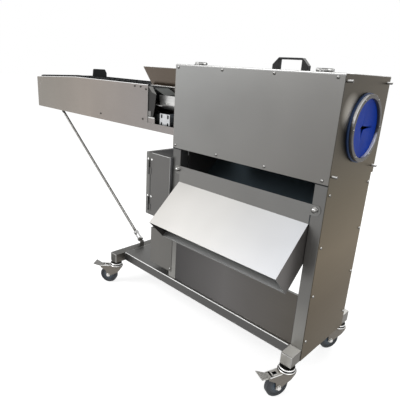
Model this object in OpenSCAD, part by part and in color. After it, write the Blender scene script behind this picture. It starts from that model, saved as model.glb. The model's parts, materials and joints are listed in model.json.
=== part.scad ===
// Carrot peeling machine: peeling head on a caster frame, infeed conveyor, peel chute and control box.
// X runs from the infeed (negative) to the discharge (positive), Y from the chute side to the back, Z up.

/* [Frame] */
// Side of the square tubes
tube = 50; // [40:1:60]
// Wall of the square tubes
tube_wall = 3; // [2:0.5:5]
// Length of the base along the machine
base_len = 1200; // [1150:10:1300]
// Front overhang of the cross tubes before the posts
base_front = 69; // [60:1:90]
// Back overhang of the cross tubes behind the posts
base_back = 64; // [60:1:90]
// Depth over the posts
leg_depth = 360; // [345:1:375]
// Height of the posts between the base and the head
leg_h = 671; // [640:1:700]
// Sheet thickness of covers and panels
sheet_t = 2; // [1.5:0.5:3]
// How far the tray stands out in front of the posts
tray_front = 8; // [4:1:20]
// Height of the tray's folded lips
tray_lip = 46; // [30:1:48]

/* [Head] */
// Length of the peeling head
head_len = 787; // [740:1:860]
// Height of the peeling head
head_h = 369; // [350:1:390]
// Depth of the back rails behind the posts
back_rail_t = 14; // [12:1:20]
// Height of the cover rails
rail_h = 25; // [20:1:30]
// Depth of the fixed top strip in front of the lid
strip_d = 48; // [40:1:56]
// Height of the lid's fold behind the back cover
lid_fold = 12; // [8:1:14]
// Gap between the lid's fold and the back cover
lid_gap = 1; // [0.5:0.1:1.5]
// Gap below the closed lid
seat_gap = 0.3; // [0.2:0.1:0.5]
// Length of the lid handle
handle_len = 175; // [150:1:220]
// Height of the lid handle
handle_h = 53; // [44:1:60]
// Length of each foot of the lid handle
handle_foot = 31; // [24:1:40]
// Thickness of the handle's bar
handle_bar = 8; // [6:1:12]
// Length of the handle's corner slopes
handle_slope = 30; // [20:1:36]
// Width of the lid handle
handle_w = 26; // [20:1:32]
// Distance of the handle from the lid's hinge side
handle_y = 299; // [240:1:340]
// Width of a lid hinge
hinge_w = 64; // [50:1:80]
// Distance of the lid hinges from the head's ends
hinge_in = 103; // [80:1:140]
// Radius of the lid hinge knuckles
knuckle_r = 6.5; // [4:0.5:7]

/* [Carrot path] */
// Distance of the carrot path behind the front of the posts
path_y = 190; // [180:1:200]
// Height of the carrot path above the head's bottom
path_h = 186; // [180:1:192]
// Radius of the feed rollers
roller_r = 45; // [40:1:47]
// Distance of the roller axes from the carrot path
roller_off = 75; // [70:1:80]
// Length of the feed rollers
roller_w = 110; // [90:1:120]
// Radius of the roller shafts
shaft_r = 10; // [8:0.5:12]
// Radial clearance of running fits
run_gap = 0.05; // [0.02:0.01:0.1]
// Thickness of the bearing wall
wall_t = 8; // [6:1:10]
// Pitch radius of the sprockets
sprocket_r = 28; // [24:1:32]
// Width of the chains and sprockets
chain_w = 8; // [6:1:10]
// Height of the chain links around the pitch line
chain_h = 8; // [6:1:10]
// Radius of the knife arm pins
pin_r = 6; // [5:0.5:8]
// Length of the knife arms
arm_len = 62; // [55:1:70]
// Thickness of the knife blades
blade_t = 2; // [1.5:0.5:3]

/* [Discharge port] */
// Outer radius of the clamp ring
ring_r = 120; // [112:1:124]
// Inner radius of the clamp ring
ring_in = 106; // [100:1:110]
// Thickness of the clamp ring
ring_t = 12; // [8:1:16]
// Outer radius of the membrane
membrane_r = 124; // [122:1:128]
// Thickness of the membrane
membrane_t = 8; // [6:1:10]
// Radius of the hole in the membrane's centre
membrane_hole = 12; // [8:1:16]
// Length of the slits in the membrane
slit_len = 60; // [40:1:80]
// Width of the slits in the membrane
slit_w = 3; // [2:0.5:4]
// Length of the studs on the right plate
stud_len = 20; // [15:1:20]
// Radius of the studs on the right plate
stud_r = 5; // [4:0.5:6]

/* [Peel chute] */
// Height of the open slot below the head
slot_h = 79; // [60:1:90]
// Height of the chute's bolted flange
flange_h = 74; // [60:1:80]
// How far the chute reaches in front of the posts
chute_reach = 177; // [150:1:200]
// Slope of the chute in degrees
chute_slope = 43; // [40:1:46]
// Depth of the chute duct across its slope
chute_duct = 122; // [110:1:130]

/* [Panels] */
// Height of the lower panel above the base
panel_h = 221; // [190:1:250]
// Length of the side guard left of the posts
guard_len = 144; // [120:1:170]
// Height of the side guard
guard_h = 195; // [150:1:220]
// Gap between the side guard and the tray
guard_up = 30; // [20:1:40]

/* [Control box] */
// Depth of the control box along the machine
box_l = 155; // [130:1:170]
// Width of the control box door
box_w = 240; // [200:1:260]
// Height of the control box
box_h = 322; // [290:1:350]
// How far the control box stands in front of the posts
box_front = 15; // [10:1:20]
// Gap between the control box top and the head
box_drop = 50; // [40:1:70]
// Depth of the door pan
door_t = 20; // [16:1:24]

/* [Conveyor] */
// Length of the conveyor beyond the head
conv_len = 1568; // [1500:1:1650]
// Distance between the outer faces of the conveyor panels
conv_w = 180; // [170:1:200]
// Height of the conveyor's lower edge above the head's bottom
conv_up = 31; // [25:1:40]
// Height of the conveyor panels
conv_h = 228; // [220:1:240]
// Drop of the panels at the infeed end
conv_drop = 24; // [15:1:30]
// Length of the dropped infeed part
nose_len = 528; // [450:1:560]
// Length of the notch next to the head
notch_len = 317; // [290:1:340]
// Height of the strip below the notch
notch_h = 37; // [32:1:50]
// Radius of the conveyor rollers
belt_roller_r = 40; // [36:1:42]
// Thickness of the belt
belt_t = 4; // [3:0.5:5]
// Width of the belt
belt_w = 144; // [130:1:148]
// Height of the pusher flight
flight_h = 53; // [40:1:60]
// Width of the pusher flight
flight_w = 96; // [80:1:110]
// Distance of the pusher flight from the head
flight_x = 903; // [850:10:950]
// Length of the hopper wings
wing_len = 285; // [260:1:310]
// Height of the hopper wings
wing_h = 84; // [70:1:95]
// How far the hopper wings lean outwards
wing_lean = 58; // [40:1:70]
// Inner radius of the feed trough
trough_r = 45; // [40:1:48]
// Pitch radius of the conveyor sprockets
conv_sprocket_r = 20; // [18:1:24]
// Radius of the stay rod
stay_r = 8; // [6:0.5:9]

/* [Casters] */
// Height from the floor to the cross tubes
caster_h = 135; // [130:1:145]
// Radius of the wheels
wheel_r = 48; // [45:1:49]
// Width of the wheels
wheel_w = 27; // [24:1:28]
// Distance of the wheel axle behind the swivel axis
trail = 42; // [40:1:46]
// Radius of the swivel rings
swivel_r = 34; // [30:1:36]
// Distance of the casters from the tube ends
caster_in = 20; // [18:1:30]

/* [Hidden] */
$fn = 48;
eps = 0.01;

steel = "silver";
dark_steel = "dimgray";
black = [0.12, 0.12, 0.13];
blue = [0.14, 0.26, 0.62];

// Heights above the floor
base_top = caster_h + tube;
head_z = base_top + leg_h;
head_top = head_z + head_h;
wall_top = head_top - sheet_t - seat_gap;
path_z = head_z + path_h;

// Depths behind the front of the posts
head_back = leg_depth + back_rail_t + sheet_t;
base_y0 = -base_front;
base_y1 = leg_depth + base_back;

// Places along the machine, from the right plate's outer face
post_x = [-sheet_t - tube, -head_len + sheet_t];
inner_l = -head_len + sheet_t + tube;
inner_r = -sheet_t - tube;
conv_x0 = -head_len - conv_len;
ring_screw_h = 2;
right_end = max(stud_len, membrane_t + ring_t + ring_screw_h);

// Middle of the footprint
mid_x = (conv_x0 + right_end) / 2;
mid_y = (base_y1 - chute_reach) / 2;

// Shared small shapes
screw_r = 5.5;
screw_h = 4;

module box(x0, x1, y0, y1, z0, z1) {
  translate([x0, y0, z0]) cube([x1 - x0, y1 - y0, z1 - z0]);
}
module along_y(x, z, y0, y1, r) {
  translate([x, y0, z]) rotate([-90, 0, 0]) cylinder(h = y1 - y0, r = r);
}
module along_x(y, z, x0, x1, r) {
  translate([x0, y, z]) rotate([0, 90, 0]) cylinder(h = x1 - x0, r = r);
}
module profile_y(y0, y1) {
  translate([0, y1, 0]) rotate([90, 0, 0]) linear_extrude(y1 - y0) children();
}
module profile_x(x0, x1) {
  translate([x0, 0, 0]) rotate([90, 0, 90]) linear_extrude(x1 - x0) children();
}
module screw_front(x, y, z) {
  along_y(x, z, y - screw_h, y, screw_r);
}
module screw_right(x, y, z) {
  along_x(y, z, x, x + screw_h, screw_r);
}

// Base and frame

cross_x = [post_x[0], -base_len];
module base_cross_tubes() {
  color(steel) for (x = cross_x) difference() {
    box(x, x + tube, base_y0, base_y1, caster_h, base_top);
    box(x + tube_wall, x + tube - tube_wall, base_y0 + tube_wall, base_y1 - tube_wall,
        caster_h + tube_wall, base_top - tube_wall);
  }
}

module base_tray() {
  x0 = -base_len + tube;
  x1 = post_x[0];
  y1 = leg_depth + tray_front;
  z0 = base_top - tray_lip;
  color(dark_steel) difference() {
    box(x0, x1, -tray_front, y1, z0, base_top);
    box(x0 - 1, x1 + 1, -tray_front + sheet_t, y1 - sheet_t, z0 - 1, base_top - sheet_t);
  }
}

post_y = [0, leg_depth - tube];
module posts() {
  color(steel) for (x = post_x, y = post_y) difference() {
    box(x, x + tube, y, y + tube, base_top, wall_top);
    box(x + tube_wall, x + tube - tube_wall, y + tube_wall, y + tube - tube_wall,
        base_top + tube_wall, wall_top - tube_wall);
  }
}

motor_x = -head_len / 2;
roller_z = path_z - roller_off;
motor_h = 100;
motor_plate_t = 8;
motor_drop = 326;
motor_rail_z = head_z - motor_drop;
motor_z = motor_rail_z + tube + motor_plate_t + motor_h / 2;
back_y = leg_depth + back_rail_t;
bearing_bar_w = 60;
motor_plate_d = 136;
motor_plate_x = [-250, 60];
plate_y0 = leg_depth - motor_plate_d;

module frame_rails() {
  gap = 0.2;
  color(steel) {
    for (z = [head_z, wall_top - rail_h]) {
      box(inner_l, inner_r, 0, rail_h, z, z + rail_h);
      box(-head_len + sheet_t, -sheet_t, leg_depth, back_y, z, z + rail_h);
    }
    difference() {
      box(motor_x - bearing_bar_w / 2, motor_x + bearing_bar_w / 2, leg_depth, back_y,
          head_z + rail_h + gap, wall_top - rail_h - gap);
      along_y(motor_x, roller_z, leg_depth - 1, back_y + 1, shaft_r + run_gap);
    }
    box(inner_l, inner_r, leg_depth - tube, leg_depth, motor_rail_z, motor_rail_z + tube);
    box(motor_x + motor_plate_x[0], motor_x + motor_plate_x[1], plate_y0, leg_depth,
        motor_rail_z + tube, motor_rail_z + tube + motor_plate_t);
  }
}

// Head covers and plates

module right_side_plate() {
  color(dark_steel) difference() {
    union() {
      box(-sheet_t, 0, 0, leg_depth, caster_h, head_z);
      box(-sheet_t, 0, -sheet_t, head_back, head_z, wall_top);
    }
    along_x(path_y, path_z, -sheet_t - 1, 1, ring_in);
  }
}

inlet_half = trough_r + 4;
module left_end_plate() {
  color(steel) difference() {
    box(-head_len, -head_len + sheet_t, -sheet_t, head_back, head_z, wall_top);
    box(-head_len - 1, 1 - head_len + sheet_t, path_y - inlet_half, path_y + inlet_half,
        path_z - inlet_half, path_z + inlet_half);
  }
}

module front_cover() {
  color(steel) box(-head_len + sheet_t, -sheet_t, -sheet_t, 0, head_z, wall_top);
}

module back_cover() {
  color(steel) box(-head_len + sheet_t, -sheet_t, back_y, head_back, head_z, wall_top);
}

module top_strip() {
  color(steel) box(-head_len, 0, -sheet_t, strip_d, wall_top, wall_top + sheet_t);
}

guard_x1 = -head_len + sheet_t + tube * 0.4;
guard_z = base_top + guard_up;
module cover_screws() {
  edge = rail_h / 2;
  edge_in = 17;
  low_up = 35;
  top_down = 37;
  side_rows = 4;
  guard_in = 15;
  guard_side = 8;
  ring_head_r = 4;
  side_x = [-head_len + edge_in, -head_len * 0.657, -head_len * 0.343, -sheet_t - tube / 2];
  side_pitch = (head_z - top_down - base_top - low_up) / (side_rows - 1);
  ring_bolt_r = (ring_r + ring_in) / 2;
  ring_bolts = 6;
  ring_x = membrane_t + ring_t;
  color(steel) {
    for (x = side_x, z = [head_z + edge, wall_top - edge]) screw_front(x, -sheet_t, z);
    for (y = [edge_in, leg_depth - edge_in], row = [0:side_rows - 1])
      screw_right(0, y, base_top + low_up + row * side_pitch);
    for (z = [guard_z + guard_in, guard_z + guard_h - guard_in])
      screw_front(guard_x1 - guard_side, -sheet_t, z);
    for (a = [0:ring_bolts - 1]) rotate_about_path(a * 360 / ring_bolts + 30)
      along_x(path_y, path_z + ring_bolt_r, ring_x, ring_x + ring_screw_h, ring_head_r);
    for (p = panel_screw_xz) screw_front(p[0], conv_y0, p[1]);
  }
}
module rotate_about_path(a) {
  translate([0, path_y, path_z]) rotate([a, 0, 0]) translate([0, -path_y, -path_z]) children();
}

module side_studs() {
  edge_in = 12;
  low_up = 31;
  top_down = 22;
  color(steel) for (y = [edge_in, leg_depth - edge_in], z = [head_z + low_up, wall_top - top_down])
    along_x(y, z, 0, stud_len, stud_r);
}

// Lid with its hinges on the chute side

hinge_y = strip_d + 2;
hinge_z = wall_top + sheet_t + knuckle_r;
leaf_t = 2;
leaf_w = 26;
hinge_x = [-hinge_in, -head_len + hinge_in];
lid_z = wall_top + seat_gap;

module lid() {
  rib_in = 6;
  rib_d = 40;
  rib_h = 10;
  y1 = head_back + lid_gap + sheet_t;
  y0 = hinge_y + 2;
  top = lid_z + sheet_t;
  knuckle = hinge_w / 3;
  color(steel) {
    box(-head_len, 0, y0, y1, lid_z, top);
    box(-head_len, 0, y1 - sheet_t, y1, lid_z - lid_fold, top);
    difference() {
      box(inner_l + rib_in, inner_r - rib_in, handle_y - rib_d / 2, handle_y + rib_d / 2,
          lid_z - rib_h, lid_z);
      box(inner_l, inner_r, handle_y - rib_d / 2 + sheet_t, handle_y + rib_d / 2 - sheet_t,
          lid_z - rib_h + sheet_t, lid_z);
    }
    for (x = hinge_x) for (s = [-1, 1]) difference() {
      union() {
        along_x(hinge_y, hinge_z, x + s * knuckle - knuckle / 2 + 0.2,
            x + s * knuckle + knuckle / 2 - 0.2, knuckle_r);
        box(x + s * knuckle - knuckle / 2 + 0.2, x + s * knuckle + knuckle / 2 - 0.2,
            hinge_y + knuckle_r * 0.6, hinge_y + knuckle_r + leaf_w, top, top + leaf_t);
        box(x + s * knuckle - knuckle / 2 + 0.2, x + s * knuckle + knuckle / 2 - 0.2,
            hinge_y + knuckle_r * 0.6, hinge_y + knuckle_r, top, hinge_z);
      }
      along_x(hinge_y, hinge_z, x - hinge_w, x + hinge_w, hinge_pin_r + run_gap);
    }
  }
}

hinge_pin_r = 2;
module lid_hinges() {
  knuckle = hinge_w / 3;
  z = wall_top + sheet_t;
  color(steel) for (x = hinge_x) {
    along_x(hinge_y, hinge_z, x - hinge_w / 2, x + hinge_w / 2, hinge_pin_r);
    along_x(hinge_y, hinge_z, x - knuckle / 2, x + knuckle / 2, knuckle_r);
    box(x - knuckle / 2, x + knuckle / 2, hinge_y - knuckle_r - leaf_w, hinge_y - knuckle_r * 0.6,
        z, z + leaf_t);
    box(x - knuckle / 2, x + knuckle / 2, hinge_y - knuckle_r, hinge_y - knuckle_r * 0.6, z, hinge_z);
  }
}

module lid_handle() {
  half = handle_len / 2;
  x = -head_len / 2;
  z = lid_z + sheet_t;
  color(black) profile_y(handle_y - handle_w / 2, handle_y + handle_w / 2) difference() {
    translate([x, z]) polygon([[-half, 0], [half, 0], [half, handle_h - handle_slope],
      [half - handle_slope, handle_h], [-half + handle_slope, handle_h], [-half, handle_h - handle_slope]]);
    translate([x - half + handle_foot, z - 1])
      square([handle_len - 2 * handle_foot, handle_h - handle_bar + 1]);
  }
}

// Discharge port

module discharge_ring() {
  color(steel) difference() {
    along_x(path_y, path_z, membrane_t, membrane_t + ring_t, ring_r);
    along_x(path_y, path_z, membrane_t - 1, membrane_t + ring_t + 1, ring_in);
  }
}

module discharge_membrane() {
  color(blue) difference() {
    along_x(path_y, path_z, 0, membrane_t, membrane_r);
    along_x(path_y, path_z, -1, membrane_t + 1, membrane_hole);
    for (a = [0:90:270]) rotate_about_path(a)
      box(-1, membrane_t + 1, path_y - slit_w / 2, path_y + slit_w / 2, path_z, path_z + slit_len);
  }
}

// Peel chute

chute_top_z = head_z - slot_h - flange_h;
chute_x0 = inner_l + 1;
chute_x1 = inner_r - 1;
front_z = chute_top_z - chute_reach * tan(chute_slope);
lip_y = -chute_reach + chute_duct * sin(chute_slope);
lip_z = front_z - chute_duct * cos(chute_slope);
floor_end_z = head_z - 12;
floor_y = lip_y + (floor_end_z - lip_z) / tan(chute_slope);
ear_r = 22;
ear_z = head_z - slot_h - 18;
ear_x = [inner_r + tube * 0.32, inner_l - tube * 0.16];

module peel_chute() {
  drop = sheet_t / cos(chute_slope);
  side = [[0, chute_top_z], [-chute_reach, front_z], [lip_y, lip_z], [floor_y, floor_end_z],
    [floor_y, head_z - 4], [tube + 4, head_z - 4], [tube + 4, chute_top_z]];
  color(steel) {
    for (x = [chute_x0, chute_x1 - sheet_t]) profile_x(x, x + sheet_t) polygon(side);
    profile_x(chute_x0, chute_x1) polygon([[0, chute_top_z], [-chute_reach, front_z],
      [-chute_reach + drop * sin(chute_slope) * cos(chute_slope),
          front_z - drop * cos(chute_slope) * cos(chute_slope)],
      [0, chute_top_z - drop]]);
    profile_x(chute_x0, chute_x1) polygon([[lip_y, lip_z], [floor_y, floor_end_z],
      [floor_y, floor_end_z + drop], [lip_y, lip_z + drop]]);
    difference() {
      union() {
        box(chute_x0, chute_x1, -sheet_t, 0, chute_top_z - drop, head_z - slot_h);
        for (x = ear_x) along_y(x, ear_z, -sheet_t, 0, ear_r);
        box(ear_x[1], ear_x[0], -sheet_t, 0, ear_z - ear_r, head_z - slot_h);
      }
      box(ear_x[1] - tube, ear_x[0] + tube, -sheet_t - 1, 1, head_z - slot_h, head_z);
    }
  }
}

module chute_bolts() {
  washer_r = 11;
  head_r = 9;
  color(steel) for (x = ear_x) {
    along_y(x, ear_z, -sheet_t - 2, -sheet_t, washer_r);
    translate([x, -sheet_t - 2, ear_z]) rotate([90, 0, 0]) cylinder(h = 8, r = head_r, $fn = 6);
  }
}

// Panels below the head

module lower_panel() {
  hem = 3;
  z1 = base_top + panel_h;
  color(dark_steel) {
    box(inner_l, inner_r, 0, sheet_t, base_top, z1);
    box(inner_l, inner_r, sheet_t, sheet_t + hem, z1 - 2 * hem, z1 - sheet_t);
  }
}

module side_guard() {
  x0 = guard_x1 - guard_len - tube * 0.4;
  back = leg_depth + sheet_t;
  color(dark_steel) difference() {
    box(x0, guard_x1, -sheet_t, back, guard_z, guard_z + guard_h);
    box(x0 + sheet_t, guard_x1 + 1, 0, leg_depth, guard_z - 1, guard_z + guard_h + 1);
  }
}

// Control box on the left posts, with its door on the infeed side

box_x1 = -head_len + sheet_t;
box_x0 = box_x1 - box_l;
box_y0 = -box_front;
box_y1 = box_w - box_front;
box_z1 = head_z - box_drop;
box_z0 = box_z1 - box_h;
door_gap = 0.3;
door_x1 = box_x0 - door_gap;
door_x0 = door_x1 - door_t;
door_pin_x = box_x0 - door_gap / 2;
door_knuckle_r = 4;
door_pin_y = box_y0 - door_knuckle_r;
door_hinge_h = 70;
door_hinge_z = [box_z1 - 40 - door_hinge_h, box_z0 + 22];
door_leaf = 18;
hinge_web = 2;

module door_knuckle(z0, z1, s) {
  x_far = door_pin_x + s * door_leaf;
  x_near = door_pin_x + s * 0.5;
  translate([door_pin_x, door_pin_y, z0]) cylinder(h = z1 - z0, r = door_knuckle_r);
  box(min(x_far, x_near), max(x_far, x_near), box_y0 - hinge_web, box_y0, z0, z1);
  box(min(x_near, x_near + s * 2), max(x_near, x_near + s * 2), door_pin_y, box_y0, z0, z1);
}

module control_box() {
  gland_r = 10;
  color(dark_steel) {
    difference() {
      box(box_x0, box_x1, box_y0, box_y1, box_z0, box_z1);
      box(box_x0 - 1, box_x1 - sheet_t, box_y0 + sheet_t, box_y1 - sheet_t, box_z0 + sheet_t,
          box_z1 - sheet_t);
    }
    translate([(box_x0 + box_x1) / 2, box_y1 - 40, box_z0 - 18]) cylinder(h = 18, r = gland_r);
    for (z = door_hinge_z) {
      door_knuckle(z, z + door_hinge_h / 2 - 0.2, 1);
      translate([door_pin_x, door_pin_y, z]) cylinder(h = door_hinge_h, r = hinge_pin_r);
    }
  }
}

control_y = box_y0 + box_w / 2;
estop_yz = [control_y, box_z1 - 60];
start_yz = [control_y - 45, box_z1 - 135];
stop_yz = [control_y + 45, box_z1 - 135];
knob_yz = [control_y, box_z1 - 205];
button_r = 11;
stem_r = 10.5;
collar_h = 6;
collar_wall = 4;
slide_gap = 0.3;
knob_shaft_r = 4;

module control_door() {
  holes = [[estop_yz, stem_r + slide_gap], [start_yz, button_r + slide_gap],
    [stop_yz, button_r + slide_gap], [knob_yz, knob_shaft_r + run_gap]];
  color(dark_steel) difference() {
    union() {
      difference() {
        box(door_x0, door_x1, box_y0, box_y1, box_z0, box_z1);
        box(door_x0 + sheet_t, door_x1 + 1, box_y0 + sheet_t, box_y1 - sheet_t, box_z0 + sheet_t,
            box_z1 - sheet_t);
      }
      for (h = holes) along_x(h[0][0], h[0][1], door_x0 - collar_h, door_x0, h[1] + collar_wall);
      for (z = door_hinge_z) door_knuckle(z + door_hinge_h / 2 + 0.2, z + door_hinge_h, -1);
    }
    for (h = holes) along_x(h[0][0], h[0][1], door_x0 - collar_h - 1, door_x0 + sheet_t + 1, h[1]);
    for (z = door_hinge_z) translate([door_pin_x, door_pin_y, z])
      cylinder(h = door_hinge_h + 1, r = hinge_pin_r + run_gap);
  }
}

travel = 5;
button_out = collar_h + travel + 1;
module push_button(yz, c) {
  color(c) {
    along_x(yz[0], yz[1], door_x0 - button_out, door_x0 + sheet_t + 4, button_r);
  }
}
module start_button() { push_button(start_yz, "green"); }
module stop_button() { push_button(stop_yz, "firebrick"); }

module emergency_stop() {
  cap_r = 20;
  cap_h = 14;
  color("red") {
    along_x(estop_yz[0], estop_yz[1], door_x0 - button_out - cap_h, door_x0 - button_out, cap_r);
    along_x(estop_yz[0], estop_yz[1], door_x0 - button_out - 1, door_x0 + sheet_t + 4, stem_r);
  }
}

module speed_knob() {
  knob_r = 16;
  knob_h = 18;
  x1 = door_x0 - collar_h - slide_gap;
  color(black) difference() {
    union() {
      along_x(knob_yz[0], knob_yz[1], x1 - knob_h, x1, knob_r);
      along_x(knob_yz[0], knob_yz[1], x1 - 1, door_x0 + sheet_t + 6, knob_shaft_r);
    }
    box(x1 - knob_h - 1, x1 - knob_h + 2, knob_yz[0] - 1, knob_yz[0] + 1, knob_yz[1],
        knob_yz[1] + knob_r + 1);
  }
}

// Drive and peeling parts in the head

wall_y = tube;
front_chain_y = tube / 2;
back_chain_y = leg_depth - 20;
roller_pitch = round(head_len * 0.314);
feed_x = [motor_x - roller_pitch, motor_x, motor_x + roller_pitch];
upper_x = [feed_x[0], feed_x[2]];
upper_z = path_z + roller_off;
sprocket_out = sprocket_r - chain_h / 2 - 0.3;
arm_x = [motor_x - roller_pitch / 2 - 40, motor_x + roller_pitch / 2 - 40];
arm_off = 98;
arm_side = [1, -1];
arm_y = path_y - 12;
arm_w = 24;
pin_y1 = path_y + 26;

module inner_wall() {
  color(steel) {
    difference() {
      box(-head_len + sheet_t, -sheet_t, wall_y, wall_y + wall_t, head_z, wall_top);
      for (x = feed_x) along_y(x, roller_z, wall_y - 1, wall_y + wall_t + 1, shaft_r + run_gap);
      for (x = upper_x) along_y(x, upper_z, wall_y - 1, wall_y + wall_t + 1, shaft_r + run_gap);
    }
    for (x = arm_x, s = arm_side) along_y(x, path_z + s * arm_off, wall_y + wall_t, pin_y1, pin_r);
  }
}

module hourglass(x, z) {
  waist = roller_r - 12;
  half = roller_w / 2;
  translate([x, path_y, z]) rotate([90, 0, 0]) rotate_extrude()
    polygon([[0, -half], [roller_r, -half], [roller_r, -half + 15], [waist, 0], [roller_r, half - 15],
      [roller_r, half], [0, half]]);
}
module sprocket(x, z, y, r) {
  along_y(x, z, y, y + chain_w, r);
}
module lower_roller(i, y1) {
  color(black) {
    hourglass(feed_x[i], roller_z);
    along_y(feed_x[i], roller_z, front_chain_y - 8, y1, shaft_r);
    sprocket(feed_x[i], roller_z, front_chain_y, sprocket_out);
  }
}
shaft_end = path_y + roller_w / 2 + 8;
module feed_roller_1() { lower_roller(0, shaft_end); }
module feed_roller_3() { lower_roller(2, shaft_end); }
module feed_roller_2() {
  lower_roller(1, back_y - 1);
  color(black) sprocket(feed_x[1], roller_z, back_chain_y, sprocket_out);
}
module upper_roller(i) {
  color(black) {
    hourglass(upper_x[i], upper_z);
    along_y(upper_x[i], upper_z, wall_y - 10, shaft_end, shaft_r);
    along_y(upper_x[i], upper_z, wall_y - 10, wall_y - slide_gap, shaft_r + 4);
  }
}
module upper_roller_1() { upper_roller(0); }
module upper_roller_2() { upper_roller(1); }

module knife_arm(i, s) {
  hub_r = 13;
  bar_h = 14;
  blade_reach = 22;
  lean = 55;
  color(steel) translate([arm_x[i], 0, path_z + s * arm_off])
    mirror([0, 0, s < 0 ? 1 : 0]) rotate([0, lean, 0]) difference() {
      union() {
        along_y(0, 0, arm_y, arm_y + arm_w, hub_r);
        box(0, arm_len, arm_y, arm_y + arm_w, -bar_h / 2, bar_h / 2);
        box(arm_len - blade_t, arm_len, arm_y - arm_w, arm_y + 2 * arm_w, -blade_reach, bar_h / 2);
      }
      along_y(0, 0, arm_y - 1, arm_y + arm_w + 1, pin_r + run_gap);
    }
}
module knife_arm_1() { knife_arm(0, 1); }
module knife_arm_2() { knife_arm(0, -1); }
module knife_arm_3() { knife_arm(1, 1); }
module knife_arm_4() { knife_arm(1, -1); }

gear_y0 = plate_y0 + 4;
gear_y1 = back_chain_y - 12;
motor_shaft_in = 40;
module gear_motor() {
  gear_w = 100;
  can_r = 46;
  can_len = 180;
  y = (gear_y0 + gear_y1) / 2;
  color(dark_steel) {
    difference() {
      box(motor_x - gear_w / 2, motor_x + gear_w / 2, gear_y0, gear_y1, motor_z - motor_h / 2,
          motor_z + motor_h / 2);
      along_y(motor_x, motor_z, gear_y1 - motor_shaft_in, gear_y1 + 1, shaft_r + run_gap);
    }
    along_x(y, motor_z, motor_x - gear_w / 2 - can_len, motor_x - gear_w / 2, can_r);
  }
}
module motor_sprocket() {
  color(dark_steel) {
    along_y(motor_x, motor_z, gear_y1 - motor_shaft_in + 1, back_chain_y + 1, shaft_r);
    sprocket(motor_x, motor_z, back_chain_y, sprocket_out);
  }
}

module chain_loop(x0, z0, x1, z1, r, h) {
  len = norm([x1 - x0, z1 - z0]);
  translate([x0, z0]) rotate(atan2(z1 - z0, x1 - x0)) difference() {
    stadium(len, r + h / 2);
    stadium(len, r - h / 2);
  }
}
module stadium(len, r) {
  circle(r);
  translate([len, 0]) circle(r);
  translate([0, -r]) square([len, 2 * r]);
}
conv_chain_h = 6;
module drive_chains() {
  color(black) {
    profile_y(front_chain_y, front_chain_y + chain_w)
      chain_loop(feed_x[0], roller_z, feed_x[2], roller_z, sprocket_r, chain_h);
    profile_y(back_chain_y, back_chain_y + chain_w)
      chain_loop(motor_x, motor_z, motor_x, roller_z, sprocket_r, chain_h);
    profile_y(conv_chain_y, conv_chain_y + chain_w)
      chain_loop(conv_motor_x, conv_motor_z, drive_x, drive_z, conv_sprocket_r, conv_chain_h);
  }
}

// Infeed conveyor

conv_y0 = path_y - conv_w / 2;
conv_y1 = path_y + conv_w / 2;
conv_z0 = head_z + conv_up;
conv_top = conv_z0 + conv_h;
belt_gap = 0.3;
belt_proud = 3;
notch_x = -head_len - notch_len;
nose_x = conv_x0 + nose_len;
belt_out = belt_roller_r + belt_gap + belt_t;
drive_x = notch_x - belt_out - 2;
drive_z = conv_top + belt_proud - belt_out;
tail_x = conv_x0 + belt_out + 6;
tail_z = drive_z - conv_drop * (nose_x - tail_x) / nose_len;
conv_shaft_r = 10;
conv_chain_gap = 3;
conv_chain_y = conv_y1 - sheet_t - conv_chain_gap - chain_w;
conv_motor_in = 119;
conv_motor_up = 60;
conv_motor_x = notch_x + conv_motor_in;
conv_motor_z = conv_z0 + conv_motor_up;
panel_screw_xz = [[notch_x - 15, conv_top - 22], [notch_x - 60, conv_top - 12],
  [notch_x - 110, conv_top - 12], [notch_x - 38, conv_z0 + notch_h + 14], [notch_x - 440, conv_z0 + 34]];

module panel_outline(notched) {
  right = notched ? [[-head_len, conv_z0 + notch_h], [notch_x, conv_z0 + notch_h], [notch_x, conv_top]]
    : [[-head_len, conv_top]];
  difference() {
    polygon(concat([[conv_x0, conv_z0], [-head_len, conv_z0]], right,
        [[nose_x, conv_top], [conv_x0, conv_top - conv_drop]]));
    translate([drive_x, drive_z]) circle(conv_shaft_r + run_gap);
    translate([tail_x, tail_z]) circle(conv_shaft_r + run_gap);
  }
}
module conveyor_panels() {
  color(steel) {
    profile_y(conv_y0, conv_y0 + sheet_t) panel_outline(true);
    profile_y(conv_y1 - sheet_t, conv_y1) panel_outline(false);
  }
}

module conveyor_bed() {
  bed_t = 3;
  end_h = 70;
  y0 = conv_y0 + sheet_t;
  y1 = conv_y1 - sheet_t;
  x1 = drive_x - belt_roller_r - 6;
  x0 = tail_x + belt_roller_r + 6;
  top = drive_z + belt_roller_r;
  top0 = top - (top - tail_z - belt_roller_r) * (nose_x - x0) / (nose_x - tail_x);
  color(steel) {
    profile_y(y0, y1) polygon([[x1, top], [nose_x, top], [x0, top0], [x0, top0 - bed_t],
      [nose_x, top - bed_t], [x1, top - bed_t]]);
    box(conv_x0, -head_len, y0, y1, conv_z0, conv_z0 + sheet_t);
    box(conv_x0, conv_x0 + sheet_t, y0, y1, conv_z0, conv_z0 + end_h);
  }
}

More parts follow.
